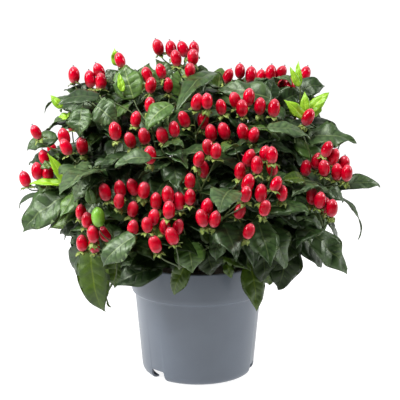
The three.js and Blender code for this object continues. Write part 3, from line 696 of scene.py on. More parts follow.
# Each leaf by its place in the photograph, with its values in the order that Marked gives
MARKED_LEAVES = dict(
    right_arching=((306, 139), (357, 142), (70, 72), 27, (15, 48), "sage", 65),
    right_behind=((304, 127), (339, 127), (30, 30), 16, (40, 62), "dark", 70),
    far_right=((334, 187), (384, 189), (40, 34), 17, (25, 48), "sage", 60),
    right_thin=((336, 196), (360, 240), (44, 40), 13, (88, 42), "green", 70),
    right_hanging=((307, 230), (348, 278), (84, 74), 27, (5, 42), "green", 45),
    right_low_fill=((296, 234), (326, 266), (72, 64), 28, (20, 30), "dark", 40),
    right_gap=((318, 184), (346, 200), (56, 48), 22, (40, 36), "green", 50),
    right_short=((316, 212), (315, 240), (96, 98), 20, (0, 36), "sage", 50),
    right_under=((326, 214), (335, 258), (50, 40), 26, (70, 30), "dark", 40),
    low_right=((290, 243), (272, 291), (84, 80), 32, (15, 8), "shade", 35),
    low_right_wide=((262, 246), (268, 284), (90, 84), 22, (5, 20), "shade", 40),
    low_right_pale=((264, 226), (288, 271), (120, 122), 27, (10, 42), "green", 50),
    over_rim=((250, 262), (254, 312), (74, 80), 25, (30, 4), "olive", 30),
    rim_tip=((226, 263), (232, 279), (84, 86), 9, (0, 20), "olive", 40),
    centre_tip=((188, 262), (173, 295), (96, 92), 19, (-30, 12), "olive", 50),
    centre_bright=((187, 242), (194, 273), (128, 130), 27, (5, 30), "leafy", 40),
    centre_dark=((206, 250), (212, 276), (118, 110), 22, (10, 30), "shade", 50),
    centre_fill=((204, 222), (184, 240), (96, 104), 24, (0, 40), "shade", 50),
    left_gap=((112, 240), (93, 282), (56, 50), 30, (-25, 20), "shade", 40),
    left_gap_low=((118, 256), (113, 288), (66, 62), 26, (-10, 14), "olive", 40),
    left_gap_high=((104, 232), (72, 262), (44, 34), 24, (-40, 26), "dark", 50),
    left_hanging=((91, 241), (98, 318), (82, 80), 29, (-15, 12), "olive", 40),
    left_under=((86, 236), (76, 279), (76, 66), 24, (-60, 24), "dark", 40),
    left_edge_on=((113, 284), (109, 308), (80, 80), 14, (-85, 8), "olive", 60),
    low_left_pale=((136, 235), (103, 271), (134, 130), 23, (-18, 46), "sage", 50),
    low_left_gap=((146, 250), (120, 271), (84, 80), 24, (-15, 30), "shade", 50),
    low_left_mid=((158, 250), (118, 263), (112, 108), 22, (-12, 48), "green", 60),
    low_left_dark=((163, 265), (114, 287), (98, 100), 27, (-15, 34), "dark", 50),
    left_big=((68, 195), (22, 233), (74, 60), 33, (-40, 32), "green", 40),
    left_thin=((46, 196), (18, 209), (36, 30), 10, (-80, 40), "dark", 95),
    left_dark=((84, 210), (48, 226), (84, 70), 24, (-40, 44), "olive", 45),
    left_dark_low=((88, 222), (58, 236), (78, 66), 20, (-40, 40), "dark", 45),
    left_curl=((82, 228), (64, 241), (76, 70), 9, (-70, 30), "dark", 80),
    left_face=((90, 172), (73, 203), (112, 112), 26, (-30, 44), "sage", 40),
    left_tip=((58, 139), (26, 148), (56, 48), 20, (-45, 44), "green", 60),
    left_tip_low=((54, 158), (28, 165), (50, 44), 18, (-50, 44), "dark", 60),
    upper_left_thin=((74, 98), (45, 113), (34, 26), 9, (-70, 45), "green", 90),
    upper_left_long=((100, 98), (58, 103), (84, 76), 21, (-25, 66), "dark", 50),
    upper_left_under=((94, 106), (58, 109), (66, 54), 19, (-30, 44), "dark", 45),
    upper_left_low=((96, 117), (70, 125), (66, 60), 21, (-30, 40), "dark", 45),
    upper_left_face=((96, 106), (118, 122), (94, 100), 24, (-20, 30), "sage", 36),
    upper_left_tall=((82, 108), (80, 138), (92, 98), 24, (-20, 26), "green", 36),
    upper_left_curl=((94, 99), (64, 86), (48, 42), 20, (-30, 40), "dark", 45),
    upper_left_gap=((120, 90), (104, 70), (50, 44), 20, (-20, 34), "dark", 40),
    upper_right_gap=((276, 106), (302, 90), (56, 50), 22, (5, 34), "dark", 40),
    rim_gap=((262, 258), (269, 287), (78, 74), 17, (10, 16), "olive", 40),
    far_left_gap=((60, 194), (31, 187), (48, 40), 11, (-60, 44), "dark", 50),
    top_small=((170, 78), (156, 57), (30, 22), 13, (0, 30), "sage", 30),
    top_small_right=((200, 84), (199, 64), (20, 10), 16, (0, 30), "green", 30),
    deep_middle=((174, 146), (148, 151), (56, 60), 24, (0, 40), "dark", 50),
    deep_middle_low=((172, 166), (146, 173), (70, 76), 26, (0, 40), "dark", 50),
    top_left_face=((134, 100), (124, 62), (58, 44), 27, (-12, 22), "leafy", 24),
    top_left_edge=((143, 92), (150, 63), (50, 40), 24, (0, 26), "leafy", 24),
    top_centre=((182, 98), (182, 66), (50, 38), 25, (0, 26), "leafy", 24),
    top_long=((214, 72), (172, 112), (38, 86), 22, (-20, 40), "green", 50),
    top_right_face=((218, 98), (219, 65), (30, 16), 22, (5, 26), "leafy", 24),
    top_right_lying=((266, 90), (228, 86), (30, 34), 21, (0, 56), "sage", 50),
    top_right_broad=((273, 100), (216, 88), (72, 66), 25, (-5, 36), "sage", 50),
    top_right_curl=((268, 102), (274, 76), (70, 56), 17, (15, 20), "dark", 30),
    top_right_wide=((236, 104), (262, 84), (50, 40), 24, (0, 50), "green", 50),
    high_right=((293, 94), (326, 85), (44, 38), 22, (15, 42), "dark", 60),
    middle_left=((172, 104), (142, 128), (112, 124), 21, (-25, 44), "leafy", 40),
    middle_long=((266, 128), (312, 139), (112, 104), 19, (10, 58), "sage", 50),
    middle_face=((231, 190), (214, 211), (152, 195), 25, (-5, 62), "sage", 30),
    middle_low=((152, 158), (112, 166), (142, 142), 17, (-12, 60), "sage", 45),
    right_olive=((304, 180), (281, 181), (118, 126), 14, (10, 60), "olive", 50),
    young_up=((300, 86), (298, 61), (60, 58), 7, (-40, 14), "young", 16),
    young_up_left=((299, 87), (290, 66), (62, 62), 6, (-20, 20), "young", 20),
    young_left=((304, 118), (284, 99), (78, 82), 10, (-10, 30), "young", 20),
    young_middle=((306, 113), (303, 91), (70, 68), 8, (-10, 20), "young", 16),
    young_right=((309, 113), (328, 89), (62, 58), 11, (10, 34), "young", 20),
    young_low=((312, 117), (321, 98), (56, 52), 8, (40, 14), "young", 20),
    spray_up=((67, 184), (49, 152), (84, 84), 9, (0, 20), "young", 18),
    spray_flat=((66, 185), (28, 183), (68, 70), 9, (-30, 50), "young", 24),
    spray_small=((52, 164), (40, 168), (74, 76), 9, (-30, 40), "olive", 30),
    bud_left=((93, 204), (88, 187), (124, 122), 10, (-20, 20), "leafy", 20),
    bud_right=((97, 204), (95, 184), (126, 124), 8, (20, 20), "leafy", 20),
    upper_spray=((62, 108), (50, 95), (54, 52), 7, (-20, 30), "young", 30),
    upper_spray_low=((74, 118), (57, 117), (58, 56), 9, (-20, 50), "young", 30),
    top_young=((118, 66), (115, 48), (38, 38), 9, (-20, 20), "young", 20),
    top_young_low=((123, 92), (120, 72), (66, 64), 6, (-20, 20), "young", 20),
)

# The berry clusters that the photograph shows, which stand in for the rule's own ones on the masses that
# face it: how far each lies in front of the axis, and the pixels of its berries' middles
MARKED_BERRIES = dict(
    top=(24, [(158, 47), (171, 49), (183, 49), (194, 49)]),
    top_front=(58, [(176, 58), (193, 57), (190, 70)]),
    under_top=(64, [(161, 71), (147, 75), (151, 85), (168, 85)]),
    top_left=(44, [(120, 60)]),
    upper_left=(48, [(74, 75), (90, 79), (99, 71), (101, 81)]),
    upper_right_far=(12, [(228, 76), (261, 77), (271, 73), (281, 73), (305, 74)]),
    upper_right=(40, [(240, 71), (251, 75), (283, 85), (290, 87)]),
    right_in_spray=(80, [(308, 117)]),
    high_left=(100, [(150, 105), (136, 119)]),
    front_high=(104, [(197, 102), (207, 101), (184, 119), (203, 120), (221, 107)]),
    front_right_high=(90, [(235, 100), (249, 97), (242, 108), (260, 106), (274, 108)]),
    front_right_between=(106, [(224, 131), (211, 133), (243, 132), (254, 135)]),
    front_middle=(120, [(174, 129), (162, 135)]),
    front_left_high=(112, [(115, 131), (130, 140), (144, 136)]),
    front_left_drop=(132, [(150, 155)]),
    far_left=(66, [(36, 132)]),
    left_high=(92, [(64, 137), (66, 147), (82, 146)]),
    left=(62, [(44, 157), (37, 171), (48, 174), (25, 179)]),
    front=(132, [(208, 147), (216, 151), (203, 169), (199, 159)]),
    front_right_top=(134, [(249, 158), (265, 153), (272, 155), (257, 165), (272, 168), (240, 171)]),
    front_right=(148, [(248, 183), (246, 194), (261, 193), (276, 184), (282, 193), (265, 208), (240, 211)]),
    front_right_lowest=(158, [(249, 231)]),
    right=(96, [
        (317, 161), (324, 168), (327, 149), (333, 157), (337, 172), (344, 164), (347, 173), (306, 168),
    ]),
    right_low=(112, [(312, 196), (320, 200), (325, 205), (332, 208)]),
    centre=(142, [(190, 181), (190, 197), (179, 201), (168, 195), (156, 201)]),
    centre_low=(148, [(207, 207), (202, 218), (215, 219)]),
    left_cluster=(130, [(105, 192), (120, 189), (119, 201), (133, 187), (144, 190), (133, 209)]),
    front_left=(148, [
        (169, 210), (154, 217), (147, 225), (133, 228), (165, 227), (178, 227), (172, 236), (155, 244),
    ]),
    left_low=(124, [(81, 212), (87, 220), (93, 234), (105, 234), (82, 243), (94, 245)]),
)

GREEN_BUD = Sizes(pixel=(98, 217), front=142, lean=0.1, size=1.1)  # beside the left cluster
FIRST_FORK, FORK_SPACING = 6, 4  # along a shoot, for their stalks
FORKS_TRIED = 30
NEARER_TRIES = (0, 5, -5, 10, -10, 15, -15, 20, -20, 28, -28)


def bear(name, point, heading, shape, forks):
    """The course of a stalk from the nearest free place on a shoot to what it bears, whose shape it and
    the stalk then occupy; None if there is no room."""
    if not room.free(*shape, GAP):
        return None

    def effort(fork):
        """A stalk costs its length, and more where it has to turn back."""
        way = point - fork[1]
        return way.length * (2 - way.normalized().dot(heading))

    for shoot, centre, tangent in sorted(forks, key=effort)[:FORKS_TRIED]:
        run = (point - centre).length
        back = (centre - point).dot(heading) / run
        if run > STALK.longest or back > (0.95 if run < STALK.short else 0.3):
            continue
        start = mix(tangent, (point - centre).normalized(), 0.6)
        course = Course(centre, centre + start * run * 0.35, point - heading * run * 0.35, point)
        test = tube(course, lambda share: FRUIT.stalk_radius, 4, 6, 0.15)
        if room.free(*test, GAP, [shoot.name, f"stalk {name}"]):
            room.occupy(*test, f"stalk {name}")
            room.occupy(*shape, name)
            return course
    return None


def marked_berry(name, x, y, front, side, lean, size, forks):
    """A berry and the course of its stalk, at the first distance along the line of sight with room."""
    for nearer in NEARER_TRIES:
        middle = sighted(x, y, front + nearer)
        azimuth = math.degrees(math.atan2(middle.x, -middle.y)) + side
        axis = mix(UP, placed(azimuth, 1, 0), lean)
        base = middle - axis * FRUIT.length * size / 2
        berry = Berry(None, None, base, axis, size, axis)
        shape = berry.body(8, ROUGH_BERRY)
        course = bear(name, base + axis * 0.4, axis, shape, forks)
        if course:
            return berry, course
    return None


def grow_marked(forks, rng):
    """The marked leaves and berries that find room, and the courses of their stalks."""
    leaves, berries, stalks = [], [], []
    for name, (front, pixels) in MARKED_BERRIES.items():
        for x, y in pixels:
            side, lean, size = rng.uniform(-70, 70), rng.uniform(0.05, 0.34), rng.uniform(0.88, 1.04)
            found = marked_berry(name, x, y, front, side, lean, size, forks)
            if found:
                berries.append(found[0])
                stalks.append(found[1])
    for name, row in MARKED_LEAVES.items():
        spot = Marked(*row)
        quirks = Quirks(rng, spot.width / LEAF.width)
        for nearer in NEARER_TRIES:
            leaf = spot.leaf(nearer, quirks)
            course = bear(name, leaf.base, leaf.direction, leaf.test(), forks)
            if course:
                leaves.append((spot.tint, leaf))
                stalks.append(course)
                break
    return leaves, berries, stalks


# Finer twigs


def grow_twiglet(site, leaf, rng, number):
    """A short twig in the axil of a leaf, if it has room there."""
    centre, tangent, _ = site.shoot.frame(site.distance)
    lean = rng.uniform(0.55, 0.95)
    heading = tangent * math.cos(lean) + leaf.out * math.sin(lean)
    length = rng.uniform(TWIGLET.shortest, TWIGLET.longest)
    end = centre + heading * length + UP * length * 0.25
    course = Course(centre, centre + heading * length * 0.6, end)
    test = tube(course, lambda share: 0.7, 4, 3, 0.25)
    if not room.free(*test, 0.8, [site.shoot.name]):
        return None
    twiglet = Shoot(f"twiglet {number}", course, (STALK.radius, STALK.tip_radius))
    room.occupy(*test, twiglet.name)
    return twiglet


def twiglet_leaves(twiglet, rng):
    """One or two pairs of small leaves."""
    leaves = []
    first_turn = rng.uniform(0, math.pi)
    pairs = 2 if twiglet.length > TWIGLET.two_pairs else 1
    for k in range(pairs):
        distance = twiglet.length * (1 - 0.42 * (pairs - 1 - k))
        size = rng.uniform(TWIGLET.leaf, TWIGLET.longest_leaf) * (1 - 0.2 * k)
        for half in (0, 1):
            turn = first_turn + k * math.pi / 2 + half * math.pi + rng.uniform(-0.3, 0.3)
            spread = math.radians(rng.uniform(42, 66))
            bend = math.radians(rng.uniform(25, 70))
            site = Site(twiglet, distance, k, turn, spread, bend, size, TWIGLET.slim)
            leaf = settle_leaf(site, rng)
            if leaf:
                leaves.append(leaf)
    return leaves


# Joined pieces

# On berries the tone is their own pale foot and a painted highlight towards the tip; on leaves it marks vein
# grooves for painted shade
TONE = "tone"  # the attribute that says how near a point is to a vein, or how pale a berry is there


def dress(piece, slot, nodes):
    """Adds a piece that takes the place of nodes, on the part's one body."""
    bpy.context.scene.collection.objects.link(piece)
    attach(piece, "root")
    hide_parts(*nodes)


class Pile:
    """Many small shapes of one kind, joined into one mesh with several materials."""

    def __init__(self, name, materials, slot):
        self.name = name
        self.materials = materials
        self.slot = slot
        self.points = []
        self.faces = []
        self.kinds = []
        self.tones = []
        self.creases = []
        self.count = 0

    def add(self, points, faces, kinds=0, tones=(), creases=()):
        """Tones are one number a point for the material to read. Creases are one row number a point:
        edges within a row above 0 are sharp."""
        self.points.append(np.asarray(points, float).reshape(-1, 3))
        self.tones.extend(tones)
        self.creases.extend(row and row + self.count for row in creases)
        self.faces.extend(tuple(i + self.count for i in face) for face in faces)
        self.kinds.extend([kinds] * len(faces) if isinstance(kinds, int) else kinds)
        self.count += len(self.points[-1])

    def mesh(self):
        mesh = bpy.data.meshes.new(self.name)
        mesh.from_pydata((np.vstack(self.points) * MM).tolist(), [], self.faces)
        for material in self.materials:
            mesh.materials.append(material)
        mesh.polygons.foreach_set("material_index", self.kinds)
        mesh.polygons.foreach_set("use_smooth", [True] * len(mesh.polygons))
        if self.tones:
            mesh.attributes.new(TONE, "FLOAT", "POINT").data.foreach_set("value", self.tones)
        if self.creases:
            ends = np.zeros(2 * len(mesh.edges), int)
            mesh.edges.foreach_get("vertices", ends)
            rows = np.array(self.creases)[ends].reshape(-1, 2)
            sharp = (rows[:, 0] > 0) & (rows[:, 0] == rows[:, 1])
            mesh.attributes.new("sharp_edge", "BOOLEAN", "EDGE").data.foreach_set("value", sharp)
        mesh.update()
        return mesh

    def make(self, *nodes):
        dress(bpy.data.objects.new(self.name, self.mesh()), self.slot, nodes)


BLADE_ROWS = 16
BLADE_COLUMNS = (-1, -0.74, -0.4, -0.05, 0.05, 0.4, 0.74, 1)
SEPAL_ROWS = 4
SEPAL_COLUMNS = (-1, 0, 1)


def shell_faces(rows, columns, midrib):
    """Faces of a closed blade: an upper and a lower grid that share their border. Kinds are 0 for the
    upper side, 1 for the midrib and 2 for the lower side."""
    wide = columns + 1
    lower = {}
    for i in range(1, rows):
        for j in range(1, columns):
            lower[i * wide + j] = (rows + 1) * wide + len(lower)
    faces, kinds = [], []
    for number, quad in enumerate(grid_faces(rows, columns)):
        faces += [quad, tuple(lower.get(p, p) for p in reversed(quad))]
        kinds += [1 if midrib and number % columns == columns // 2 else 0, 2]
    return faces, kinds


BLADE_FACES = shell_faces(BLADE_ROWS, len(BLADE_COLUMNS) - 1, True)
SEPAL_FACES = shell_faces(SEPAL_ROWS, len(SEPAL_COLUMNS) - 1, False)


def blade_veins(rows, columns):
    """Tones and creases of a blade: side veins run along every second row, the midrib down the middle. The
    tone marks them for painted shade in the grooves.
    """
    tones, creases = [], []
    for i in range(rows + 1):
        for v in columns:
            vein = i % 2 == 0 and 0 < i < rows and abs(v) < 1
            tones.append(1.0 if vein or abs(v) < 0.1 else 0.0)
            creases.append(i if vein else 0)
    inside = (rows - 1) * (len(columns) - 2)
    return tones + [0.0] * inside, creases + [0] * inside


BLADE_VEINS = blade_veins(BLADE_ROWS, BLADE_COLUMNS)


def add_blade(pile, leaf, small=False):
    rows, columns = (SEPAL_ROWS, SEPAL_COLUMNS) if small else (BLADE_ROWS, BLADE_COLUMNS)
    upper, lower = leaf.surface(rows, columns, LEAF.thickness)
    inner = lower[1:-1, 1:-1].reshape(-1, 3)
    faces, kinds = SEPAL_FACES if small else BLADE_FACES
    tones, creases = ((), ()) if small else BLADE_VEINS
    pile.add(np.vstack([upper.reshape(-1, 3), inner]), faces, kinds, tones, creases)


# Materials


def node(tree, kind, **values):
    """A new node; values are its settings, or its inputs with _ for each space."""
    made = tree.nodes.new("ShaderNode" + kind)
    for name, value in values.items():
        label = name.replace("_", " ")
        if label in made.inputs:
            made.inputs[label].default_value = value
        else:
            setattr(made, name, value)
    return made


def surface(name, low, high, scale, roughness, bump=0.0, bump_scale=None, toned=None, **shader):
    """A material whose colour wanders between two, with a fine relief, and turns to a third colour where
    the mesh's tone says so: toned is that colour, its strength and the tone's power. Scales are in
    millimetres."""
    made = bpy.data.materials.new(name)
    made.use_nodes = True
    tree = made.node_tree
    link = tree.links.new
    principled = tree.nodes["Principled BSDF"]
    for key, value in shader.items():
        principled.inputs[key.replace("_", " ")].default_value = value
    place = node(tree, "TexCoord").outputs["Object"]
    cloud = node(tree, "TexNoise", Scale=1 / (scale * MM), Detail=3.0, Roughness=0.6)
    link(place, cloud.inputs["Vector"])
    ramp = node(tree, "ValToRGB")
    for stop, position, colour in zip(ramp.color_ramp.elements, (0.36, 0.66), (low, high)):
        stop.position = position
        stop.color = (*colour, 1)
    link(cloud.outputs["Fac"], ramp.inputs["Fac"])
    colour = ramp.outputs["Color"]
    if toned:
        hue, strength, power = toned
        tone = node(tree, "Attribute", attribute_name=TONE)
        sharpened = node(tree, "Math", operation="POWER")
        sharpened.inputs[1].default_value = power
        scaled = node(tree, "Math", operation="MULTIPLY")
        scaled.inputs[1].default_value = strength
        blend = node(tree, "MixRGB", Color2=(*hue, 1))
        link(tone.outputs["Fac"], sharpened.inputs[0])
        link(sharpened.outputs["Value"], scaled.inputs[0])
        link(scaled.outputs["Value"], blend.inputs["Fac"])
        link(colour, blend.inputs["Color1"])
        colour = blend.outputs["Color"]
    link(colour, principled.inputs["Base Color"])
    shine = node(tree, "MapRange", To_Min=roughness - 0.06, To_Max=roughness + 0.08)
    link(cloud.outputs["Fac"], shine.inputs["Value"])
    link(shine.outputs["Result"], principled.inputs["Roughness"])
    if bump:
        grain = node(tree, "TexNoise", Scale=1 / (bump_scale * MM), Detail=2.0)
        relief = node(tree, "Bump", Strength=bump, Distance=0.4 * MM)
        link(place, grain.inputs["Vector"])
        link(grain.outputs["Fac"], relief.inputs["Height"])
        link(relief.outputs["Normal"], principled.inputs["Normal"])
    return made


def fade(tree, place, target, **values):
    """Lets a socket change along Y, as a MapRange node with these values says."""
    coordinates = node(tree, "TexCoord")
    parts = node(tree, "SeparateXYZ")
    ramp = node(tree, "MapRange", **values)
    tree.links.new(coordinates.outputs[place], parts.inputs["Vector"])
    tree.links.new(parts.outputs["Y"], ramp.inputs["Value"])
    tree.links.new(ramp.outputs["Result"], target)


def leaf_materials(name, colours, roughness, gloss):
    """The upper side, with painted shade in its vein grooves, the midrib and the underside."""
    low, high, midrib, painted_groove_shade, under = colours
    upper = surface(name, low, high, 9, roughness, 0.4, 1.6, (painted_groove_shade, 0.7, 3), **gloss)
    rib = surface(f"{name}_midrib", midrib, midrib, 4, roughness, **gloss)
    lower = surface(f"{name}_underside", under, under, 7, 0.6, 0.3, 1.6, **gloss)
    return [upper, rib, lower]


# Each tint of leaf: the two colours that its upper side wanders between, its midrib, its side veins and its
# underside. The side-vein colour is painted shade in the grooves, darker than the blade for most tints.
TINTS = dict(
    # shade: painted shade, a darker and less glossy copy of the dark tint for leaves low in the crown and in
    # its hollows
    shade=[
        (0.003, 0.009, 0.001), (0.011, 0.024, 0.004), (0.022, 0.036, 0.008),
        (0.002, 0.006, 0.001), (0.024, 0.04, 0.008),
    ],
    dark=[
        (0.007, 0.021, 0.004), (0.024, 0.052, 0.013), (0.04, 0.065, 0.02),
        (0.003, 0.01, 0.002), (0.04, 0.07, 0.02),
    ],
    green=[
        (0.016, 0.042, 0.007), (0.047, 0.093, 0.022), (0.06, 0.095, 0.026),
        (0.007, 0.02, 0.004), (0.055, 0.09, 0.024),
    ],
    # sage: painted light, a lighter copy of the green tint for leaves on which the light falls
    sage=[
        (0.027, 0.056, 0.018), (0.071, 0.118, 0.04), (0.085, 0.125, 0.045),
        (0.012, 0.028, 0.008), (0.07, 0.11, 0.04),
    ],
    leafy=[
        (0.035, 0.082, 0.012), (0.078, 0.15, 0.026), (0.12, 0.18, 0.045),
        (0.022, 0.05, 0.008), (0.08, 0.13, 0.03),
    ],
    olive=[
        (0.015, 0.036, 0.001), (0.046, 0.088, 0.002), (0.08, 0.125, 0.006),
        (0.05, 0.092, 0.004), (0.055, 0.098, 0.004),
    ],
    young=[
        (0.16, 0.34, 0.008), (0.25, 0.45, 0.02), (0.42, 0.6, 0.06),
        (0.2, 0.38, 0.012), (0.3, 0.48, 0.03),
    ],
)
LEAF_GLOSS = dict(Specular_IOR_Level=0.52, Specular_Tint=(0.88, 1.0, 0.78, 1.0))
# The shade tint's weaker gloss is painted shade too: less reflection on leaves low in the crown
SHADE_GLOSS = dict(Specular_IOR_Level=0.2, Specular_Tint=(0.85, 1.0, 0.7, 1.0))
LEAF_MATERIALS = {
    tint: leaf_materials(f"leaf_{tint}", colours, 0.38, SHADE_GLOSS if tint == "shade" else LEAF_GLOSS)
    for tint, colours in TINTS.items()
}
SEPAL_COLOURS = [
    (0.12, 0.18, 0.025), (0.27, 0.33, 0.08), (0.26, 0.33, 0.09),
    (0.16, 0.23, 0.04), (0.2, 0.26, 0.06),
]
SEPALS = leaf_materials("sepal", SEPAL_COLOURS, 0.5, LEAF_GLOSS)
# The others: two colours, the size of their clouds, roughness, and the depth and grain of their relief
BUD_GREEN = surface("bud_green", (0.08, 0.22, 0.01), (0.17, 0.38, 0.03), 5, 0.34, 0.2, 1.4)
# Pink for the berries' own pale foot and for the painted highlight at their tips
PALE_PINK_AND_GLINT = (0.82, 0.2, 0.26)
BERRY_GLOSS = dict(Specular_IOR_Level=0.45, Specular_Tint=(1.0, 0.5, 0.58, 1.0))
BERRY_RED = (0.31, 0.0, 0.007), (0.57, 0.0, 0.018)
BERRY = [
    surface("berry_red", *BERRY_RED, 9, 0.1, 0.05, 3, (PALE_PINK_AND_GLINT, 1, 1), **BERRY_GLOSS),
    surface("berry_style", (0.05, 0.015, 0.01), (0.1, 0.03, 0.015), 3, 0.6),
]
TWIG_GREEN = surface("twig_green", (0.035, 0.06, 0.012), (0.085, 0.115, 0.03), 8, 0.5, 0.4, 1.2)
BARK = surface("bark", (0.07, 0.035, 0.018), (0.2, 0.11, 0.06), 5, 0.8, 0.8, 1.0)
PEAT = surface("peat", (0.012, 0.007, 0.004), (0.05, 0.03, 0.018), 3, 0.9, 1.0, 1.2)
PLASTIC = surface("pot_plastic", (0.103, 0.122, 0.154), (0.115, 0.137, 0.171), 60, 0.32, 0.12, 0.7)

# The plant


def grow_crown():
    """The boughs, the shoots, the berries of the back and the places of the leaves, all by the rule."""
    feet = forks()
    room.occupy(*tube(STEM_COURSE, stem_radius, 14, 8), "foot")
    axis = Course(Vector((0, 0, 0)), Vector((0, 0, POT.height)))
    room.occupy(*tube(axis, lambda share: lerp(POT.foot_radius, POT.rim_radius, share), 32, 4), "foot")
    boughs = {}
    for mass in MASSES:
        boughs[mass.name] = bough_course(mass, feet[mass.name])
        room.occupy(*tube(boughs[mass.name], bough_radius, 5, 4), f"bough {mass.name}")
    draws = {mass.name: Draws(number + 1) for number, mass in enumerate(MASSES)}
    shoots = []
    for mass in MASSES:
        shoots += grow_shoots(mass, boughs[mass.name], draws[mass.name])
    berries = []
    for shoot in shoots:
        if shoot.bears_fruit:
            cluster = grow_fruit(shoot, draws[shoot.mass.name])
            if shoot.mass.name.startswith("back"):
                cluster = [berry for berry in cluster if in_profile(berry.body(8)[0])]
                berries += [berry for berry in cluster if settle_berry(berry)]
    sites = []
    for shoot in shoots:
        sites += leaf_sites(shoot, draws[shoot.mass.name])
    return boughs, shoots, berries, sorted(sites, key=lambda site: site.rank)


def fork_points(shoots):
    """Where a marked leaf or berry may join a shoot: the shoot, the point and the shoot's direction."""
    forks = []
    for shoot in shoots:
        for distance in np.arange(FIRST_FORK, shoot.length - 1, FORK_SPACING):
            forks.append((shoot, *shoot.frame(distance)[:2]))
    return forks


SEED = 7
rng = np.random.default_rng(SEED)
boughs, shoots, berries, sites = grow_crown()
fork_places = fork_points(shoots)
spot = GREEN_BUD
bud, bud_stalk = marked_berry("bud", *spot.pixel, spot.front, 0, spot.lean, spot.size, fork_places)
marked_leaves, marked_berries, stalks = grow_marked(fork_places, rng)
leaves = []
for site in sites + filling_sites(shoots, rng):
    leaf = settle_leaf(site, rng)
    if leaf:
        leaves.append((site, leaf))

twiglets = []
small_leaves = []
for number, (site, leaf) in enumerate(leaves):
    if rng.uniform() < TWIGLET.share:
        twiglet = grow_twiglet(site, leaf, rng, number)
        if twiglet:
            twiglets.append(twiglet)
            small_leaves += twiglet_leaves(twiglet, rng)

FOLIAGE_NODES = [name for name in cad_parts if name.startswith("foliage_")]
BOUGH_NODES = [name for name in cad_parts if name.startswith("bough_")]

# How many leaves in a hundred have each tint, low, halfway up and high in the crown: darker tints low down
# are painted shade, lighter ones at the top are painted light
LOW_TINTS = dict(shade=62, dark=20, green=6, olive=12)
MIDDLE_TINTS = dict(dark=44, green=34, sage=18, leafy=4)
HIGH_TINTS = dict(dark=12, green=32, sage=22, leafy=34)
LOW_CROWN, HIGH_CROWN = 162, 245


# Deals tints by height, as painted shade low in the crown and painted light at its top
def dealt_tint(height, rng):
    shares = LOW_TINTS if height < LOW_CROWN else HIGH_TINTS if height > HIGH_CROWN else MIDDLE_TINTS
    return str(rng.choice(list(shares), p=[share / 100 for share in shares.values()]))


leaf_piles = {
    tint: Pile(f"leaves_{tint}", materials, "young_foliage" if tint == "young" else "foliage")
    for tint, materials in LEAF_MATERIALS.items()
}
for tint, leaf in marked_leaves:
    add_blade(leaf_piles[tint], leaf)
for leaf in [leaf for _, leaf in leaves] + small_leaves:
    add_blade(leaf_piles[dealt_tint(leaf.base.z, rng)], leaf)
for pile in leaf_piles.values():
    pile.make(*FOLIAGE_NODES)

# How finely each kind of piece is meshed: sides and steps, or sides alone
SHOOT_MESH, TWIGLET_MESH, BERRY_STALK_MESH, STALK_MESH = (8, 14), (6, 4), (6, 6), (6, 8)
BOUGH_MESH, STEM_MESH = (12, 40), (56, 70)
BERRY_SIDES, POT_SIDES, SOIL_SIDES = 18, 144, 140


def stalk_radius(share):
    return lerp(STALK.radius, STALK.tip_radius, share)


def berry_stalk_radius(share):
    return lerp(STALK.radius, FRUIT.stalk_radius, share)


twigs = Pile("twigs", [TWIG_GREEN], "foliage")
for shoot in shoots:
    twigs.add(*tube(shoot.course, lambda share, s=shoot: s.radius(share * s.length), *SHOOT_MESH))
for twiglet in twiglets:
    twigs.add(*tube(twiglet.course, stalk_radius, *TWIGLET_MESH))
for berry in berries:
    twigs.add(*tube(berry.stalk(), berry_stalk_radius, *BERRY_STALK_MESH))
for course in stalks + [bud_stalk]:
    twigs.add(*tube(course, stalk_radius, *STALK_MESH))
twigs.make(*FOLIAGE_NODES)

STYLE = Sizes(count=3, radius=0.32, tip_radius=0.12)
SEPAL = Sizes(count=5, shortest=5.5, longest=8.5, slim=0.66, bend=0.8)


def paleness(along):
    """How pale a berry is along its length: at its foot, its own colour, and more and more towards its tip,
    a painted highlight of the light from above.
    """
    foot = 0.9 * max(0, 1 - along / 0.3) ** 1.3
    # Painted highlight: the tip paled as if lit from above
    tip = 0.4 * max(0, (along - 0.75) / 0.25) ** 1.2
    return foot + tip


BERRY_TONES = [paleness(along) for along, _ in BERRY_OUTLINE for _ in range(BERRY_SIDES)]


def add_styles(pile, berry, spoke):
    tip = berry.base + berry.axis * berry.length * 0.985
    for k in range(STYLE.count):
        out = turned(spoke, berry.axis, 2 * math.pi * (k + 0.5) / STYLE.count)
        course = Course(tip, tip + berry.axis * 0.9, tip + berry.axis * 1.3 + out * 1.1)
        points, faces = tube(course, lambda share: lerp(STYLE.radius, STYLE.tip_radius, share), 5, 3)
        pile.add(points, faces, 1, [0.0] * len(points))


def add_sepals(pile, berry, spoke, rng):
    first = rng.uniform(0, 2 * math.pi)
    hang = rng.uniform(-0.75, 0.25)
    for k in range(SEPAL.count):
        out = turned(spoke, berry.axis, first + 2 * math.pi * (k + rng.uniform(-0.15, 0.15)) / SEPAL.count)
        rise = hang + rng.uniform(-0.2, 0.3)
        direction = (out * math.cos(rise) + berry.axis * math.sin(rise)).normalized()
        normal = (berry.axis - direction * berry.axis.dot(direction)).normalized()
        length = rng.uniform(SEPAL.shortest, SEPAL.longest)
        size = (length, length * SEPAL.slim, SEPAL.bend)
        sepal = Leaf(berry.base, out, direction, normal, *size, Quirks(rng, 0.25))
        add_blade(pile, sepal, small=True)


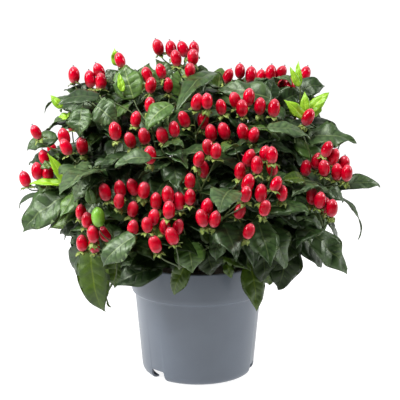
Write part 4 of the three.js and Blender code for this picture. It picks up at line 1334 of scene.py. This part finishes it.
fruit = Pile("berries", BERRY, "berries")
calyx = Pile("sepals", SEPALS, "foliage")
for berry in berries + marked_berries:
    fruit.add(*berry.body(BERRY_SIDES, lobes=0.05), 0, BERRY_TONES)
    spoke = square_to(berry.axis)
    add_styles(fruit, berry, spoke)
    add_sepals(calyx, berry, spoke, rng)
green = Pile("green_bud", [BUD_GREEN], "foliage")
green.add(*bud.body(BERRY_SIDES, lobes=0.12))
for pile in (green, fruit, calyx):
    pile.make(*FOLIAGE_NODES)


def bark_relief(seed, depth):
    """Ridges that run along a limb and break up, and a finer grain."""

    def relief(share, a):
        ridges = noise.noise(Vector((3 * math.cos(a), 3 * math.sin(a), share * 5 + seed)))
        grain = noise.noise(Vector((7 * math.cos(a), 7 * math.sin(a), share * 28 + seed)))
        return depth * (ridges + 0.5 * grain)

    return relief


wood = Pile("boughs", [BARK], "bark")
for number, mass in enumerate(MASSES):
    wood.add(*tube(boughs[mass.name], bough_radius, *BOUGH_MESH, relief=bark_relief(number, 0.22)))
wood.make(*BOUGH_NODES)
trunk = Pile("stem", [BARK], "bark")
trunk.add(*tube(STEM_COURSE, stem_radius, *STEM_MESH, relief=bark_relief(90, 0.8)))
trunk.make("main_stem")

# Pot and potting mix


def filleted(corners, steps=5):
    """An outline whose corners, each with a distance, are rounded off over that distance."""
    outline = []
    for i, (r, z, distance) in enumerate(corners):
        corner = Vector((r, z))
        if not distance:
            outline.append(corner)
            continue
        before = Vector(corners[i - 1][:2]) - corner
        after = Vector(corners[(i + 1) % len(corners)][:2]) - corner
        start = corner + before.normalized() * distance
        end = corner + after.normalized() * distance
        for k in range(steps + 1):
            share = k / steps
            outline.append(start.lerp(corner, share).lerp(corner.lerp(end, share), share))
    return outline


def lathe(outline, sides, shape=lambda point: point):
    """Points and faces of an outline turned about the axis, on which it starts and ends."""
    points = [Vector((0, 0, outline[0].y))]
    for r, z in outline[1:-1]:
        for k in range(sides):
            a = 2 * math.pi * k / sides
            points.append(shape(Vector((r * math.sin(a), -r * math.cos(a), z))))
    points.append(Vector((0, 0, outline[-1].y)))
    rings = len(outline) - 2
    last = 1 + (rings - 1) * sides
    foot = [(0, 1 + (k + 1) % sides, 1 + k) for k in range(sides)]
    top = [(last + k, last + (k + 1) % sides, last + sides) for k in range(sides)]
    return np.array(points), foot + walls(sides, rings - 1, 1) + top


def pot_outline():
    p = POT
    footing = p.foot_radius - p.foot_rounding
    body_top = p.band_radius - p.band_step
    slope = (body_top - p.foot_radius) / (p.band_bottom - p.foot_rounding)
    heel = p.foot_radius - slope * p.foot_rounding
    return filleted([
        (0, 0, 0),
        (p.boss_radius, 0, 1),
        (p.boss_radius + 1.6, p.base_height, 1),
        (p.foot_radius - p.wall, p.base_height, 1),
        (heel - p.wall, p.wall, 6),
        (footing - p.foot_edge, p.wall, 0.5),
        (footing - p.foot_edge, 0, 0.5),
        (heel, 0, p.foot_rounding),
        (body_top, p.band_bottom, 1.4),
        (p.band_radius - 0.3, p.band_bottom + p.band_step * 0.55, 0.7),
        (p.band_radius + 0.1, p.band_bottom + p.band_step * 1.5, 1),
        (p.rim_radius, p.height, p.lip_rounding),
        (p.rim_radius - p.wall - 0.6, p.height, 0.9),
        (p.rim_radius - p.wall - 0.8, p.band_bottom + 8, 4),
        (body_top - p.wall, p.band_bottom, 3),
        (p.foot_radius - p.wall, p.base_height + p.floor, 2),
        (p.boss_radius - 0.2, p.base_height + p.floor, 0.8),
        (p.boss_radius - p.wall, p.floor, 0.8),
        (0, p.floor, 0),
    ])


def slot_cutters():
    """Prisms that cut the drainage slots out of the ring of the foot, narrower at the top."""
    p = POT
    half = p.slot_width / 2
    outline = filleted([
        (-half, -1, 0),
        (half, -1, 0),
        (half * 0.86, p.slot_height, 1.6),
        (-half * 0.86, p.slot_height, 1.6),
    ])
    inside = p.foot_radius - p.foot_rounding - p.foot_edge - 2
    cutters = Pile("slots", [PLASTIC], "pot_plastic")
    for i in range(p.slots):
        turn = Quaternion(UP, math.radians(p.slot_turn + 360 / p.slots * i))
        points = [turn @ Vector((x, -y, z)) for y in (inside, inside + 20) for x, z in outline]
        cutters.add(points, tube_faces(len(outline), 1))
    return cutters.mesh()


def make_pot():
    body = Pile("nursery_pot", [PLASTIC], "pot_plastic")
    body.add(*lathe(pot_outline(), POT_SIDES))
    piece = bpy.data.objects.new("nursery_pot", body.mesh())
    cutter = bpy.data.objects.new("slots", slot_cutters())
    bpy.context.scene.collection.objects.link(cutter)
    dress(piece, "pot_plastic", ["pot"])
    cut = piece.modifiers.new("slots", "BOOLEAN")
    cut.object = cutter
    cut.solver = "EXACT"
    edge = piece.modifiers.new("edges", "BEVEL")
    edge.width = 0.3 * MM
    edge.segments = 2
    edge.limit_method = "ANGLE"
    edge.angle_limit = math.radians(40)
    shape = bpy.data.meshes.new_from_object(piece.evaluated_get(bpy.context.evaluated_depsgraph_get()))
    piece.modifiers.clear()
    piece.data = shape
    bpy.data.objects.remove(cutter)
    shape.polygons.foreach_set("use_smooth", [True] * len(shape.polygons))
    shape.set_sharp_from_angle(angle=math.radians(35))


def make_soil():
    """Potting mix with crumbs and hollows on its top."""
    top, mound, boss = SOIL.top, SOIL.mound, POT.boss_radius
    inside = POT.band_radius - POT.band_step - POT.wall
    foot = POT.foot_radius - POT.wall - 0.7
    floor = POT.floor + GAP
    base = POT.base_height + floor
    edge = [(0, floor), (boss - 3, floor), (boss - 1, base), (foot - 0.5, base)]
    edge += [(inside - 1, POT.band_bottom - 1), (inside - 0.4, top - 3)]
    reach = inside - 0.6
    for k in range(61):
        r = reach * (1 - k / 60)
        edge.append((r, top - 1.2 + mound * (1 - (r / reach) ** 2) ** 1.5))

    def crumbs(point):
        if point.z < top - 2:
            return point
        lumps = noise.noise(point * 0.22) + 0.7 * abs(noise.noise(point * 0.6))
        return point + UP * 1.1 * (lumps + 0.4 * noise.noise(point * 1.3))

    soil = Pile("potting_mix", [PEAT], "potting_mix")
    soil.add(*lathe([Vector(corner) for corner in edge], SOIL_SIDES, crumbs))
    soil.make("potting_soil")


make_pot()
make_soil()

# Camera, light and floor. The room is bright behind the plant and dim in front of it, as in a studio with
# a white backdrop, and the floor glows under and behind the pot more than in front of it.

SENSOR = 36
ROOM_LIGHT = dict(From_Min=-0.35, To_Min=0.05, To_Max=1.12)
FLOOR_SIZE, FLOOR_TONE = 400, (0.32, 0.32, 0.32)
FLOOR_GLOW = dict(From_Min=-0.5, From_Max=-0.1, To_Min=0.2, To_Max=0.9, interpolation_type="SMOOTHSTEP")
# Azimuth, distance, height and size in metres, and power
SOFTBOXES = dict(left=(-72, 1.1, 0.7, 0.5, 17), right=(88, 1.3, 0.7, 0.5, 11), top=(-30, 0.7, 1.25, 0.6, 23))

scene = bpy.context.scene
camera = bpy.data.objects.new("camera", bpy.data.cameras.new("camera"))
scene.collection.objects.link(camera)
camera.location = (0, -CAMERA.distance * MM, CAMERA.height * MM)
camera.rotation_euler = (math.radians(90 - CAMERA.pitch), 0, 0)
camera.data.sensor_width = SENSOR
camera.data.lens = CAMERA.focal / FRAME_PIXELS * SENSOR
camera.data.shift_x = CAMERA.left / FRAME_PIXELS
scene.camera = camera
scene.view_settings.view_transform = "Standard"

scene.world = scene.world or bpy.data.worlds.new("world")
scene.world.use_nodes = True
background = scene.world.node_tree.nodes["Background"]
background.inputs["Color"].default_value = (1, 1, 1, 1)
fade(scene.world.node_tree, "Generated", background.inputs["Strength"], **ROOM_LIGHT)

for name, (azimuth, distance, height, size, power) in SOFTBOXES.items():
    light = bpy.data.objects.new(f"{name}_softbox", bpy.data.lights.new(f"{name}_softbox", "AREA"))
    light.data.size = size
    light.data.energy = power
    light.location = placed(azimuth, distance, height)
    light.rotation_euler = (Vector((0, 0, 0.2)) - light.location).to_track_quat("-Z", "Y").to_euler()
    scene.collection.objects.link(light)

pale = surface("floor", FLOOR_TONE, FLOOR_TONE, 200, 0.9, Emission_Color=(1, 1, 1, 1))
glow = pale.node_tree.nodes["Principled BSDF"].inputs["Emission Strength"]
fade(pale.node_tree, "Object", glow, **FLOOR_GLOW)
bpy.ops.mesh.primitive_plane_add(size=FLOOR_SIZE)
floor = bpy.context.object
floor.name = "floor"
floor.data.materials.append(pale)
